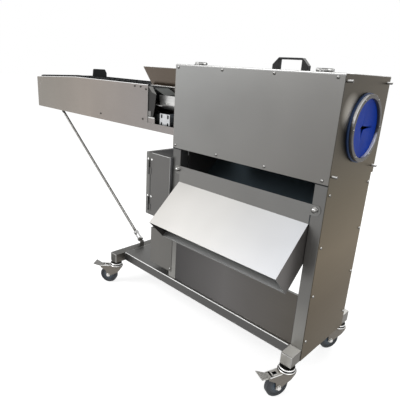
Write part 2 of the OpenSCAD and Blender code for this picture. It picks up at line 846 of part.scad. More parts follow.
module belt_loop(r) {
  translate([drive_x, drive_z]) circle(r);
  translate([tail_x, tail_z]) circle(r);
  polygon([[drive_x, drive_z + r], [nose_x, drive_z + r], [tail_x, tail_z + r], [tail_x, tail_z - r],
    [drive_x, drive_z - r]]);
}
module flight(x, z) {
  thick = 14;
  taper = 6;
  profile_x(x - thick / 2, x + thick / 2) translate([path_y, z]) polygon([[-flight_w / 2, -belt_t / 2],
    [flight_w / 2, -belt_t / 2], [flight_w / 2, flight_h * 0.6], [flight_w / 2 - taper * 2, flight_h],
    [-flight_w / 2 + taper, flight_h]]);
}
module conveyor_belt() {
  low_x = -head_len - flight_x + 290;
  low_z = drive_z - belt_out - (drive_z - tail_z) * (drive_x - low_x) / (drive_x - tail_x);
  color(black) {
    profile_y(path_y - belt_w / 2, path_y + belt_w / 2) difference() {
      belt_loop(belt_out);
      belt_loop(belt_out - belt_t);
    }
    flight(-head_len - flight_x, drive_z + belt_out);
    translate([0, 0, 2 * low_z]) mirror([0, 0, 1]) flight(low_x, low_z);
  }
}

module conveyor_roller(x, z) {
  along_y(x, z, path_y - belt_w / 2, path_y + belt_w / 2, belt_roller_r);
  along_y(x, z, conv_y0, conv_y1, conv_shaft_r);
}
module conveyor_drive_roller() {
  color(dark_steel) {
    conveyor_roller(drive_x, drive_z);
    sprocket(drive_x, drive_z, conv_chain_y, conv_sprocket_r - conv_chain_h / 2 - 0.3);
  }
}
module conveyor_tail_roller() {
  color(dark_steel) conveyor_roller(tail_x, tail_z);
}

conv_plate_in = 15;
conv_motor_y = conv_y0 + sheet_t + conv_plate_in;
conv_can_gap = 4;
conv_can_y = conv_chain_y - conv_can_gap;
conv_pin_r = 7;
conv_pin_in = 20;
module conveyor_motor() {
  plate_w = 76;
  plate_t = 4;
  slot_w = 8;
  slot_l = 18;
  slot_x = 25;
  slot_z = 19;
  foot_d = 40;
  can_r = 32;
  plate_up = 33;
  z1 = conv_motor_z + plate_up;
  color(steel) difference() {
    union() {
      box(conv_motor_x - plate_w / 2, conv_motor_x + plate_w / 2, conv_motor_y,
          conv_motor_y + plate_t, conv_z0 + sheet_t, z1);
      box(conv_motor_x - plate_w / 2, conv_motor_x + plate_w / 2, conv_motor_y,
          conv_motor_y + foot_d, conv_z0 + sheet_t, conv_z0 + sheet_t + plate_t);
      along_y(conv_motor_x, conv_motor_z, conv_motor_y + plate_t - eps, conv_can_y, can_r);
    }
    for (sx = [-1, 1], sz = [-1, 1]) translate([conv_motor_x + sx * slot_x - slot_w / 2, conv_motor_y - 1,
      conv_motor_z + sz * slot_z - slot_l / 2]) cube([slot_w, plate_t + 1, slot_l]);
    along_y(conv_motor_x, conv_motor_z, conv_can_y - conv_pin_in, conv_can_y + 1, conv_pin_r + run_gap);
  }
}
module conveyor_sprocket() {
  color(black) {
    sprocket(conv_motor_x, conv_motor_z, conv_chain_y, conv_sprocket_r - conv_chain_h / 2 - 0.3);
    along_y(conv_motor_x, conv_motor_z, conv_can_y - conv_pin_in + 1, conv_chain_y + chain_w, conv_pin_r);
  }
}

hopper_z = conv_top + 2;
riser = 4;
ledge = 16;
module wing() {
  t = sheet_t;
  z1 = hopper_z + riser;
  x0 = -head_len - wing_len;
  profile_x(x0, -head_len) polygon([[conv_y0, z1], [conv_y0 - wing_lean, z1 + wing_h],
    [conv_y0 - wing_lean + t, z1 + wing_h + 1], [conv_y0 + t, z1 + 1]]);
  box(x0, -head_len, conv_y0, conv_y0 + t, hopper_z, z1 + 1);
  box(x0 + 10, -head_len, conv_y0 - ledge, conv_y0 + t, hopper_z, hopper_z + t);
}
module inlet_hopper() {
  color(steel) {
    wing();
    translate([0, 2 * path_y, 0]) mirror([0, 1, 0]) wing();
    box(-head_len - sheet_t, -head_len, conv_y0, conv_y1, hopper_z, hopper_z + riser + wing_h);
  }
}

trough_x0 = notch_x + 44;
trough_side = 28;
module trough_outline(r) {
  circle(r);
  translate([-r, 0]) square([2 * r, trough_side]);
}
module feed_trough() {
  out = trough_r + sheet_t;
  slide_x0 = notch_x + 4;
  slide_x1 = trough_x0 + 40;
  slide_rise = 30;
  shelf_out = 18;
  shelf_len = 70;
  shelf_down = 25;
  shelf_in = 10;
  shelf_x0 = trough_x0 - shelf_out;
  shelf_x1 = shelf_x0 + shelf_len;
  shelf_z = path_z - shelf_down;
  z1 = path_z + trough_side;
  color(steel) {
    profile_x(trough_x0, -head_len + 25) translate([path_y, path_z]) difference() {
      trough_outline(out);
      trough_outline(trough_r);
      translate([-trough_r, 0]) square([2 * trough_r, 2 * trough_r]);
    }
    profile_x(-head_len - sheet_t, -head_len) translate([path_y, path_z]) difference() {
      translate([-out - 18, -out - 18]) square([2 * out + 36, out + 18 + trough_side + 30]);
      trough_outline(trough_r + eps);
      translate([-trough_r, 0]) square([2 * trough_r, trough_side + 12]);
    }
    profile_y(path_y - out, path_y + out) polygon([[slide_x0, z1 + slide_rise], [slide_x1, z1],
      [slide_x1, z1 - sheet_t], [slide_x0, z1 + slide_rise - sheet_t]]);
    difference() {
      box(shelf_x0, shelf_x1, conv_motor_y, conv_chain_y - conv_chain_gap, shelf_z, shelf_z + sheet_t);
      box(shelf_x0 - 1, shelf_x1 + 1, path_y - trough_r + shelf_in, path_y + trough_r - shelf_in,
          shelf_z - 1, shelf_z + sheet_t + 1);
      profile_x(shelf_x0 - 1, shelf_x1 + 1) translate([path_y, path_z]) circle(trough_r + eps);
    }
  }
}

// Stay rod with its turnbuckle

stay_in = 55;
stay_reach = 292;
stay_lug = 18;
stay_eye = 9;
stay_y = path_y - stay_in;
stay_top = [conv_x0 + stay_reach, conv_z0 - stay_eye];
stay_low = [-base_len + tube / 2, base_top + stay_lug];
module stay_rod() {
  len = norm(stay_top - stay_low);
  angle = atan2(stay_top[1] - stay_low[1], stay_top[0] - stay_low[0]);
  lug_w = 26;
  eye_w = 20;
  lug_t = 8;
  lug_end = 12;
  body_at = 14;
  body_len = 62;
  bar_r = 5;
  bar_off = 14;
  nut_r = 16;
  nut_h = 12;
  color(steel) {
    translate([stay_low[0], stay_y, stay_low[1]]) rotate([0, -angle, 0]) {
      rotate([0, 90, 0]) cylinder(h = body_at + nut_h, r = stay_r);
      translate([body_at + body_len - nut_h, 0, 0]) rotate([0, 90, 0])
        cylinder(h = len - body_at - body_len + nut_h, r = stay_r);
      for (s = [-1, 1]) translate([body_at, 0, s * bar_off]) rotate([0, 90, 0])
        cylinder(h = body_len, r = bar_r);
      for (at = [body_at, body_at + body_len - nut_h]) translate([at, 0, 0]) rotate([0, 90, 0])
        cylinder(h = nut_h, r = nut_r);
    }
    box(stay_low[0] - lug_w / 2, stay_low[0] + lug_w / 2, stay_y - lug_t / 2, stay_y + lug_t / 2,
        base_top, stay_low[1] + lug_end);
    box(stay_top[0] - eye_w / 2, stay_top[0] + eye_w / 2, stay_y - lug_t / 2, stay_y + lug_t / 2,
        stay_top[1] - stay_r, conv_z0);
  }
}

// Casters: front right, front left, back right, back left

cross_mid = [cross_x[0] + tube / 2, cross_x[1] + tube / 2];
front_y = base_y0 + caster_in;
rear_y = base_y1 - swivel_r - 3;
casters = [[cross_mid[0], front_y, -24], [cross_mid[1], front_y, -55], [cross_mid[0], rear_y, -27],
  [cross_mid[1], rear_y, -20]];
neck_r = 15;
neck_h = 7;
collar_r = swivel_r - 3;
collar_step = 7;
waist_r = swivel_r - 7;
waist_h = 5;
ring_h = 6;
ring_z = caster_h - neck_h - collar_step - waist_h - ring_h;
ring_gap = 0.5;
king_r = 6;
king_drop = 12;
axle_r = 5;
axle_out = 4;
leg_t = 3;
leg_in = wheel_w / 2 + 3;
pedal_pin = [-trail - 38, wheel_r + 49];
pedal_r = 3;
pedal_hub = 2.5;

module at_caster(i) {
  translate([casters[i][0], casters[i][1], 0]) rotate([0, 0, casters[i][2]]) children();
}
module caster_mounts() {
  color(steel) for (i = [0:3]) at_caster(i) {
    translate([0, 0, ring_z]) cylinder(h = ring_h, r = swivel_r);
    translate([0, 0, ring_z + ring_h]) cylinder(h = waist_h, r = waist_r);
    translate([0, 0, ring_z + ring_h + waist_h]) cylinder(h = collar_step, r = collar_r);
    translate([0, 0, caster_h - neck_h]) cylinder(h = neck_h, r = neck_r);
    translate([0, 0, ring_z - king_drop]) cylinder(h = king_drop + 1, r = king_r);
  }
}

// Side of a fork, from its swivel plate down to the axle and out to the pedal pin
module fork_side(top, braked) {
  back = swivel_r - 1;
  front = braked ? [[pedal_pin[0] - 7, pedal_pin[1] + 6], [pedal_pin[0] - 7, pedal_pin[1] - 6]]
    : [[-trail - 16, top - 8], [-trail - 18, top - 22]];
  rear = [[-trail - 15, wheel_r + 26], [-trail - 11, wheel_r - 4], [-trail + 9, wheel_r - 6],
    [back - 20, wheel_r + 22], [back - 4, wheel_r + 42], [back, top - 10]];
  polygon(concat([[back, top - 1], [-20, top - 1]], front, rear));
  translate([-trail, wheel_r]) circle(13);
}
module caster_fork(i, braked) {
  top = ring_z - ring_gap;
  plate_h = 7;
  roof_t = 2.5;
  roof_end = braked ? pedal_pin[0] + 9 : -trail - 10;
  roof_drop = braked ? 5 : 3;
  window = [16, 18];
  color(steel) at_caster(i) {
    difference() {
      translate([0, 0, top - plate_h]) cylinder(h = plate_h, r = swivel_r + 2);
      translate([0, 0, top - plate_h - 1]) cylinder(h = plate_h + 2, r = king_r + run_gap);
    }
    for (s = [0, 1]) mirror([s, 0, 0]) profile_x(leg_in, leg_in + leg_t) fork_side(top, braked);
    difference() {
      profile_x(-leg_in - 1, leg_in + 1) polygon([[-24, top - 2], [roof_end, top - roof_drop],
        [roof_end, top - roof_drop - roof_t], [-24, top - 2 - roof_t]]);
      if (braked) translate([-window[0] / 2, roof_end + 6, top - 20]) cube([window[0], window[1], 30]);
    }
    along_x(-trail, wheel_r, -leg_in - leg_t - axle_out, leg_in + leg_t + axle_out, axle_r);
    if (braked) along_x(pedal_pin[0], pedal_pin[1], -leg_in - leg_t - 1, leg_in + leg_t + 1, pedal_r);
  }
}
module caster_fork_1() { caster_fork(0, true); }
module caster_fork_2() { caster_fork(1, true); }
module caster_fork_3() { caster_fork(2, false); }
module caster_fork_4() { caster_fork(3, false); }

// Wheel turned from one half of its section and its mirror image
module caster_wheel(i) {
  crown = 4;
  half = wheel_w / 2;
  hub_r = 13;
  hub_half = half + 2.5;
  web = half - 3;
  rim_r = wheel_r - 10;
  near = [[axle_r + run_gap, hub_half], [hub_r, hub_half], [hub_r, web], [rim_r - 2, web], [rim_r, half],
    [wheel_r - crown, half], [wheel_r, half - crown]];
  far = [for (k = [len(near) - 1:-1:0]) [near[k][0], -near[k][1]]];
  color("slategray") at_caster(i) translate([0, -trail, wheel_r]) rotate([0, 90, 0]) rotate_extrude()
    polygon(concat(near, far));
}
module caster_wheel_1() { caster_wheel(0); }
module caster_wheel_2() { caster_wheel(1); }
module caster_wheel_3() { caster_wheel(2); }
module caster_wheel_4() { caster_wheel(3); }

module brake_pedal(i) {
  half = leg_in - 1;
  reach = 47;
  rise = 17;
  neck = 10;
  flare = 27;
  thick = 4;
  y0 = pedal_pin[0];
  z0 = pedal_pin[1];
  color(black) at_caster(i) difference() {
    union() {
      along_x(y0, z0, -half, half, pedal_r + pedal_hub);
      intersection() {
        profile_x(-flare, flare) polygon([[y0, z0 + pedal_r + pedal_hub - 0.5], [y0 - reach, z0 + rise],
          [y0 - reach, z0 + rise - thick], [y0 - pedal_hub, z0 - pedal_r]]);
        linear_extrude(caster_h) polygon([[half, y0 + 1], [half, y0 - neck], [flare, y0 - reach],
          [-flare, y0 - reach], [-half, y0 - neck], [-half, y0 + 1]]);
      }
    }
    along_x(y0, z0, -half - 1, half + 1, pedal_r + run_gap);
  }
}
module brake_pedal_1() { brake_pedal(0); }
module brake_pedal_2() { brake_pedal(1); }

module placed() {
  translate([-mid_x, -mid_y, 0]) children();
}

placed() base_cross_tubes();
placed() base_tray();
placed() posts();
placed() frame_rails();
placed() right_side_plate();
placed() left_end_plate();
placed() front_cover();
placed() cover_screws();
placed() back_cover();
placed() top_strip();
placed() inner_wall();
placed() side_studs();
placed() lid_hinges();
placed() lid();
placed() lid_handle();
placed() discharge_ring();
placed() discharge_membrane();
placed() peel_chute();
placed() chute_bolts();
placed() lower_panel();
placed() side_guard();
placed() control_box();
placed() control_door();
placed() emergency_stop();
placed() start_button();
placed() stop_button();
placed() speed_knob();
placed() gear_motor();
placed() motor_sprocket();
placed() drive_chains();
placed() feed_roller_1();
placed() feed_roller_2();
placed() feed_roller_3();
placed() upper_roller_1();
placed() upper_roller_2();
placed() knife_arm_1();
placed() knife_arm_2();
placed() knife_arm_3();
placed() knife_arm_4();
placed() conveyor_panels();
placed() conveyor_bed();
placed() conveyor_belt();
placed() conveyor_drive_roller();
placed() conveyor_tail_roller();
placed() conveyor_motor();
placed() conveyor_sprocket();
placed() inlet_hopper();
placed() feed_trough();
placed() stay_rod();
placed() caster_mounts();
placed() caster_fork_1();
placed() caster_fork_2();
placed() caster_fork_3();
placed() caster_fork_4();
placed() caster_wheel_1();
placed() caster_wheel_2();
placed() caster_wheel_3();
placed() caster_wheel_4();
placed() brake_pedal_1();
placed() brake_pedal_2();
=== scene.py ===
import json
import math

import bmesh
import bpy
from mathutils import Matrix, Vector


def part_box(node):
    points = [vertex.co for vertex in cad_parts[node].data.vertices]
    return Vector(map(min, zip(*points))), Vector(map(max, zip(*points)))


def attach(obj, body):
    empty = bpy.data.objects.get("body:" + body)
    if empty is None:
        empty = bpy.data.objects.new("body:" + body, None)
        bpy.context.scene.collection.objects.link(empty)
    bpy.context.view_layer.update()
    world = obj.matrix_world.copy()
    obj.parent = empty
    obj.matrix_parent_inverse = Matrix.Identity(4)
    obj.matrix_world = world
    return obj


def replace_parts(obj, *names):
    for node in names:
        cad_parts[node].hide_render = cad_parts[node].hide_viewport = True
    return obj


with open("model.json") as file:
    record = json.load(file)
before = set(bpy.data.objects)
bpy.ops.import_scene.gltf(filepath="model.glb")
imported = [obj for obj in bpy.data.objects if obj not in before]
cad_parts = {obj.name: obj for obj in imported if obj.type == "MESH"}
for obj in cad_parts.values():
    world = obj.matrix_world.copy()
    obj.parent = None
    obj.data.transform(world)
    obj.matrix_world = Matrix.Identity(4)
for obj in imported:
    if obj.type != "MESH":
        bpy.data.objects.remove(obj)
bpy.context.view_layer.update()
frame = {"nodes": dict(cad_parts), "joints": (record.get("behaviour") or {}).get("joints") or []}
nodes = frame["nodes"]
scene = bpy.context.scene
scene.view_settings.view_transform = "Standard"

MM = 0.001
X, Y, Z = Vector((1, 0, 0)), Vector((0, 1, 0)), Vector((0, 0, 1))
TURN = 2 * math.pi
WELD = 1e-6
SHARP = math.radians(40)
SMOOTH = math.radians(35)


# Materials


class Graph:
    """Short names for building one node material."""

    def __init__(self, name):
        self.material = bpy.data.materials.new(name)
        self.material.use_nodes = True
        self.tree = self.material.node_tree
        self.shader = self.tree.nodes["Principled BSDF"]
        self.place = self.add("ShaderNodeTexCoord").outputs["Object"]

    def add(self, kind, **settings):
        node = self.tree.nodes.new(kind)
        for key, value in settings.items():
            setattr(node, key, value)
        return node

    def link(self, source, target):
        self.tree.links.new(source, target)

    def set(self, **values):
        for key, value in values.items():
            self.shader.inputs[key.replace("_", " ")].default_value = value

    def noise(self, stretch, detail=3.0, roughness=0.6):
        mapping = self.add("ShaderNodeMapping")
        mapping.inputs["Scale"].default_value = stretch if isinstance(stretch, tuple) else [stretch] * 3
        self.link(self.place, mapping.inputs["Vector"])
        texture = self.add("ShaderNodeTexNoise")
        texture.inputs["Scale"].default_value = 1.0
        texture.inputs["Detail"].default_value = detail
        texture.inputs["Roughness"].default_value = roughness
        self.link(mapping.outputs["Vector"], texture.inputs["Vector"])
        return texture.outputs["Fac"]

    def spread(self, value, low, high, start=0.3, end=0.7):
        node = self.add("ShaderNodeMapRange")
        for key, number in zip(("From Min", "From Max", "To Min", "To Max"), (start, end, low, high)):
            node.inputs[key].default_value = number
        self.link(value, node.inputs["Value"])
        return node.outputs["Result"]

    def mix(self, factor, a, b, blend="MIX"):
        node = self.add("ShaderNodeMix", data_type="RGBA", blend_type=blend)
        for source, number in ((factor, 0), (a, 6), (b, 7)):
            if isinstance(source, bpy.types.NodeSocket):
                self.link(source, node.inputs[number])
            else:
                node.inputs[number].default_value = source if number == 0 else (*source, 1)
        return node.outputs[2]

    def blend(self, factor, tones):
        """A ramp with the tones spaced evenly."""
        node = self.add("ShaderNodeValToRGB")
        stops = node.color_ramp.elements
        while len(stops) < len(tones):
            stops.new(0.5)
        for number, tone in enumerate(tones):
            stops[number].position = number / (len(tones) - 1)
            stops[number].color = (*tone, 1)
        self.link(factor, node.inputs["Fac"])
        return node.outputs["Color"]

    def along(self, axis, start, end):
        dot = self.add("ShaderNodeVectorMath", operation="DOT_PRODUCT")
        dot.inputs[1].default_value = axis
        self.link(self.place, dot.inputs[0])
        return self.spread(dot.outputs["Value"], 0, 1, start, end)

    def near(self, spot, reach):
        away = self.add("ShaderNodeVectorMath", operation="DISTANCE")
        away.inputs[1].default_value = spot
        self.link(self.place, away.inputs[0])
        return self.spread(away.outputs["Value"], 1, 0, 0, reach)

    def times(self, a, b):
        return self.mix(1.0, a, b, "MULTIPLY")

    def bump(self, height, strength, distance):
        node = self.add("ShaderNodeBump")
        node.inputs["Strength"].default_value = strength
        node.inputs["Distance"].default_value = distance
        self.link(height, node.inputs["Height"])
        self.link(node.outputs["Normal"], self.shader.inputs["Normal"])

    def colour(self, source):
        self.link(source, self.shader.inputs["Base Color"])

    def rough(self, source):
        self.link(source, self.shader.inputs["Roughness"])


GRAIN_X = (5, 620, 620)
GRAIN_Y = (620, 5, 620)
GRAIN_Z = (620, 620, 5)


def steel(name, *tones, ramp=None, painted_reflection=None, edge=None, grain=GRAIN_X, roughness=0.36, metallic=0.8,
          streak=0.03):
    """Brushed sheet: fine streaks, faint clouding, a slow change of tone along one direction that is used
    to paint light and shade across a sheet, and an optional painted reflection spot.
    """
    g = Graph(name)
    g.set(Metallic=metallic)
    if edge:
        g.set(Specular_Tint=(*edge, 1))
    tone = g.blend(g.along(*ramp), tones) if ramp else tones[0]
    # A painted reflection: a soft light patch mixed into the colour round a point.
    if painted_reflection:
        spot, reach, light = painted_reflection
        tone = g.mix(g.near(spot, reach), tone, light)
    cloud = g.spread(g.noise(3, 2.0), 0.95, 1.05)
    brushed = g.noise(grain)
    lines = g.spread(brushed, 1 - streak, 1 + streak)
    toned = g.times(tone, cloud)
    g.colour(g.times(toned, lines))
    g.rough(g.spread(brushed, roughness - streak, roughness + streak))
    g.bump(brushed, 3 * streak, 0.0002)
    return g.material


def sky_metal(name, toward, *tones, span=(-0.2, 0.95), roughness=0.28, metallic=1.0):
    """Polished steel with painted light and shade: bright where it faces one side of the room and dark
    where it faces away.
    """
    g = Graph(name)
    g.set(Metallic=metallic, Roughness=roughness)
    dot = g.add("ShaderNodeVectorMath", operation="DOT_PRODUCT")
    dot.inputs[1].default_value = toward
    g.link(g.add("ShaderNodeNewGeometry").outputs["Normal"], dot.inputs[0])
    tone = g.blend(g.spread(dot.outputs["Value"], 0, 1, *span), tones)
    g.colour(g.times(tone, g.spread(g.noise(90, 4.0), 0.92, 1.06)))
    return g.material


def bright_metal(name, colour, roughness=0.22):
    """Turned or polished metal with light handling marks."""
    g = Graph(name)
    g.set(Metallic=1.0)
    marks = g.noise(90, 4.0)
    g.colour(g.times(colour, g.spread(marks, 0.9, 1.08)))
    g.rough(g.spread(marks, roughness - 0.06, roughness + 0.08))
    g.bump(g.noise(400), 0.1, 0.0001)
    return g.material


def moulded(name, colour, roughness=0.5, pores=500, relief=0.3):
    """Moulded plastic or rubber: fine pores, faint dusty clouding, worn sheen."""
    g = Graph(name)
    fine = g.noise(pores, 2.0)
    dust = g.spread(g.noise(14, 4.0), 0.86, 1.12)
    g.colour(g.times(colour, dust))
    g.rough(g.spread(fine, roughness - 0.08, roughness + 0.08))
    g.bump(fine, relief, 0.0002)
    return g.material


def painted(name, colour, roughness=0.4):
    """Hammered machine enamel."""
    g = Graph(name)
    peel = g.noise(220, 2.0)
    g.set(Metallic=0.15, Coat_Weight=0.25, Coat_Roughness=0.25)
    g.colour(g.times(colour, g.spread(g.noise(9, 3.0), 0.9, 1.08)))
    g.rough(g.spread(peel, roughness - 0.05, roughness + 0.1))
    g.bump(peel, 0.25, 0.0003)
    return g.material


# Front cover: the ramp paints light, lighter at the upper left and darker towards the lower right.
COVER = steel("front_cover_steel", (0.318, 0.32, 0.315), (0.215, 0.213, 0.206), (0.153, 0.148, 0.14),
              ramp=((0.45, 0, -0.6), -0.61, -0.02), streak=0.012)
# Right plate: painted shade, much darker than the left plate of the same steel, with tones that change with
# height, and a painted reflection patch beside the discharge ring.
PLATE_REFLECTION = (Vector((1.168, -0.049, 1.1)), 0.068, (0.58, 0.557, 0.512))
END_PLATE = steel("end_plate_steel", (0.058, 0.056, 0.053), (0.062, 0.059, 0.052), (0.077, 0.067, 0.05),
                  (0.1, 0.083, 0.06), (0.053, 0.043, 0.032), (0.043, 0.037, 0.03),
                  ramp=((0, 0, -1), -1.22, -0.14), painted_reflection=PLATE_REFLECTION, edge=(0.95, 0.887, 0.795),
                  grain=GRAIN_Y, metallic=0.95, streak=0.012)
LEFT_PLATE = steel("left_plate_steel", (0.34, 0.33, 0.31), grain=GRAIN_Y)
BACK = steel("back_cover_steel", (0.3, 0.295, 0.28))
# Inside of the back cover, seen through the slot: painted bluish shade.
BACK_INSIDE_SHADE = steel("back_inside_shade_steel", (0.13, 0.17, 0.205))
LID = steel("lid_steel", (0.34, 0.34, 0.333))
CHUTE = steel("chute_steel", (0.178, 0.175, 0.168), (0.158, 0.157, 0.152), ramp=((1, 0, 0), 0.43, 1.1))
# Sloped top of the chute cover: painted light, far paler than the rest of the chute, turning bluish to the
# right.
CHUTE_TOP = steel("chute_top_steel", (0.575, 0.56, 0.535), (0.585, 0.577, 0.562), (0.58, 0.59, 0.61),
                  ramp=((1, 0, 0), 0.43, 1.1), roughness=0.42, metallic=0.35, streak=0.006)
# Sloped chute floor: painted light at the exit, fading to bluish painted shade further in under the cover.
CHUTE_FLOOR = steel("chute_floor_steel", (0.44, 0.445, 0.44), (0.14, 0.185, 0.22), (0.14, 0.185, 0.22),
                    ramp=((0, 1, 0), -0.19, 0.1))
# Side faces of the chute: painted shade.
CHUTE_SIDE = steel("chute_side_steel", (0.105, 0.098, 0.094))
# Down-facing faces of the chute lip: painted shade.
CHUTE_LIP = steel("chute_lip_steel", (0.12, 0.13, 0.128))
# Lower panel: painted shadow, darkest at the left under the chute, lighter towards the right.
PANEL = steel("panel_steel", (0.045, 0.043, 0.043), (0.116, 0.111, 0.109), (0.086, 0.078, 0.068),
              ramp=((1, 0, 0), 0.4, 1.1))
TUBE = steel("tube_steel", (0.13, 0.126, 0.118), grain=GRAIN_Z)
# Posts: painted light and shade, lightest at the foot and darker higher up in the shadow under the chute.
POST = steel("post_steel", (0.26, 0.255, 0.24), (0.15, 0.147, 0.14), (0.135, 0.132, 0.126),
             (0.122, 0.121, 0.118), ramp=((0, 0, 1), 0.16, 0.86), grain=GRAIN_Z)
CROSS_TUBE = steel("cross_tube_steel", (0.1, 0.098, 0.09), grain=GRAIN_Y)
# Cross tubes: painted light on the right tube's front end, a painted highlight on its top, and a warm
# painted shade on the faces turned right.
TUBE_END = steel("tube_end_steel", (0.38, 0.37, 0.345), grain=GRAIN_Y)
TUBE_TOP_HIGHLIGHT = steel("tube_top_highlight_steel", (0.5, 0.49, 0.46), grain=GRAIN_Y, metallic=0.15)
TUBE_SIDE = steel("tube_side_steel", (0.1, 0.092, 0.08), grain=GRAIN_Y)
TRAY = steel("tray_steel", (0.09, 0.088, 0.086))
# Top faces of the tray: painted light, paler than its other faces.
TRAY_TOP = steel("tray_top_steel", (0.12, 0.119, 0.114))
# Painted highlight for bends, eased edges, fork edges, swivel rings and the bright screw heads.
EDGE_HIGHLIGHT = steel("bend_highlight_steel", (0.85, 0.85, 0.84), roughness=0.3, streak=0.02)
# Pale tone: the painted highlight on the hem front and the box bends; also the tone of the pedal ribs and
# the turnbuckle.
HEM = steel("hem_steel", (0.4, 0.4, 0.395), roughness=0.3, streak=0.01)
# Dimmer painted highlight for eased edges; the weld beads take the same pale tone.
SOFT_HIGHLIGHT = steel("soft_highlight_steel", (0.3, 0.295, 0.285), roughness=0.3, streak=0.02)
INNER = steel("inner_steel", (0.22, 0.215, 0.21))
# Control box top and right side: painted shade, the top darker towards the back and the side near black
# towards the post.
BOX_TOP_SHADE = steel("control_box_top_shade_steel", (0.05, 0.05, 0.05), (0.012, 0.012, 0.012), (0.006, 0.006, 0.006),
                ramp=((0, 1, 0), -0.1385, 0.05), roughness=0.6, metallic=0.3)
BOX_SIDE_SHADE = steel("control_box_side_shade_steel", (0.17, 0.172, 0.178), (0.01, 0.01, 0.01),
                 ramp=((0, 1, 0), -0.1385, -0.11), roughness=0.5, metallic=0.4)
DOOR = steel("control_door_steel", (0.165, 0.165, 0.157), grain=GRAIN_Z, roughness=0.4)
# Painted highlight on the control box's eased edges.
BOX_EDGE_HIGHLIGHT = steel("control_box_edge_highlight_steel", (0.4, 0.395, 0.385), roughness=0.4, metallic=0.2, streak=0.02)
BOX = steel("control_box_steel", (0.12, 0.117, 0.113), grain=GRAIN_Z, roughness=0.4)
CONVEYOR = steel("conveyor_steel", (0.245, 0.225, 0.198), (0.298, 0.262, 0.232), (0.265, 0.245, 0.236),
                 ramp=((1, 0, 0), -1.15, 0.1), streak=0.015)
# Hopper wings: painted shade, dark brown.
WING_SHADE = steel("hopper_shade_steel", (0.098, 0.075, 0.056))
GUARD = steel("notch_guard_steel", (0.028, 0.027, 0.026), metallic=0.5)
GUARD_FOLD = steel("guard_fold_steel", (0.17, 0.168, 0.16), metallic=0.5)
SLIDE = steel("slide_steel", (0.045, 0.05, 0.046), roughness=0.6, metallic=0.2)
TROUGH = steel("trough_steel", (0.62, 0.62, 0.61), roughness=0.3)
# Discharge ring: painted shade on the face turned right, a painted highlight band on the sides facing up
# and forward.
RING_FACE = steel("ring_face_steel", (0.05, 0.044, 0.04), roughness=0.25, streak=0.01)
RING_SIDE = sky_metal("ring_side_steel", (0, -0.67, 0.74), (0.055, 0.052, 0.05), (0.1, 0.095, 0.09),
                      (0.88, 0.88, 0.89), span=(0.66, 0.88), metallic=0.35)
# Stay strands: painted light and shade, pale on the side facing one way and dark on the other.
ROPE = sky_metal("rope_steel", (-0.09, -0.86, -0.5), (0.05, 0.05, 0.047), (0.15, 0.147, 0.14),
                 (0.42, 0.416, 0.405), (0.62, 0.615, 0.605), (0.68, 0.675, 0.665), span=(-0.35, 0.8))
# Screws, studs and bolts: painted highlight on the faces turned up, darker on the faces turned away.
POLISHED_HIGHLIGHT = sky_metal("polished_highlight_steel", (0.1, -0.35, 0.93), (0.06, 0.058, 0.055), (0.1, 0.097, 0.092),
                     (0.34, 0.335, 0.325), (0.85, 0.85, 0.84))
HINGE = steel("hinge_steel", (0.17, 0.169, 0.165), roughness=0.3, streak=0.02)
SHADE = steel("shaded_steel", (0.08, 0.077, 0.07), roughness=0.3, streak=0.02)
BRIGHT = bright_metal("bright_steel", (0.66, 0.65, 0.63))
CASTER = bright_metal("caster_zinc", (0.155, 0.142, 0.125), 0.3)
CASTER_DARK = bright_metal("caster_shade", (0.07, 0.067, 0.06), 0.35)
# Pedals and fork decks: painted light on the near pedal and the first fork's deck, painted shade on the far
# pedal and the other decks.
PEDAL = steel("pedal_zinc", (0.52, 0.51, 0.48), metallic=0.3)
PEDAL_SHADED = steel("shaded_pedal_zinc", (0.2, 0.196, 0.184), metallic=0.3)
FORK_DECK = steel("fork_deck_zinc", (0.48, 0.467, 0.437), metallic=0.3)
PLATE = bright_metal("motor_plate_aluminium", (0.55, 0.56, 0.57), 0.35)
CHAIN = bright_metal("oiled_chain", (0.06, 0.058, 0.055), 0.35)
BLADE = bright_metal("ground_blade", (0.62, 0.63, 0.64), 0.16)
HANDLE = moulded("handle_plastic", (0.011, 0.011, 0.012), 0.5)
BELT = moulded("belt_rubber", (0.008, 0.009, 0.0095), 0.6)
ROLLER = moulded("roller_rubber", (0.04, 0.04, 0.042), 0.6)
WHEEL = moulded("wheel_rubber", (0.048, 0.052, 0.058), 0.55)
HUB = moulded("wheel_hub_plastic", (0.09, 0.125, 0.165), 0.45)
MEMBRANE = moulded("membrane_rubber", (0.004, 0.034, 0.29), 0.5, 300, 0.1)
# Outer rim of the membrane under the clamp ring: painted shade.
MEMBRANE_RIM_SHADE = moulded("membrane_rim_shade", (0.012, 0.03, 0.085), 0.5, 300, 0.1)
for dull, shine in ((MEMBRANE, 0.12), (MEMBRANE_RIM_SHADE, 0.2), (HANDLE, 0.25), (BELT, 0.2), (WHEEL, 0.3)):
    dull.node_tree.nodes["Principled BSDF"].inputs["Specular IOR Level"].default_value = shine
RED = moulded("red_plastic", (0.55, 0.02, 0.015), 0.3, 300, 0.08)
GREEN = moulded("green_plastic", (0.02, 0.3, 0.07), 0.3, 300, 0.08)
MOTOR = painted("motor_enamel", (0.1, 0.115, 0.13))
MARK = painted("white_mark", (0.8, 0.8, 0.78))
YELLOW = moulded("yellow_plastic", (0.75, 0.5, 0.02), 0.35, 300, 0.08)


def paint(material, *names):
    for name in names:
        slots = nodes[name].data.materials
        slots.clear()
        slots.append(material)


def paint_where(target, material, test):
    """Another material on the faces of a CAD node or a piece that pass the test of centre and normal."""
    mesh = nodes[target].data if isinstance(target, str) else target.data
    mesh.materials.append(material)
    index = len(mesh.materials) - 1
    for face in mesh.polygons:
        if test(face.center, face.normal):
            face.material_index = index


def facing(axis, limit):
    """A test for the faces that look along an axis."""
    return lambda centre, normal: normal.dot(axis) > limit


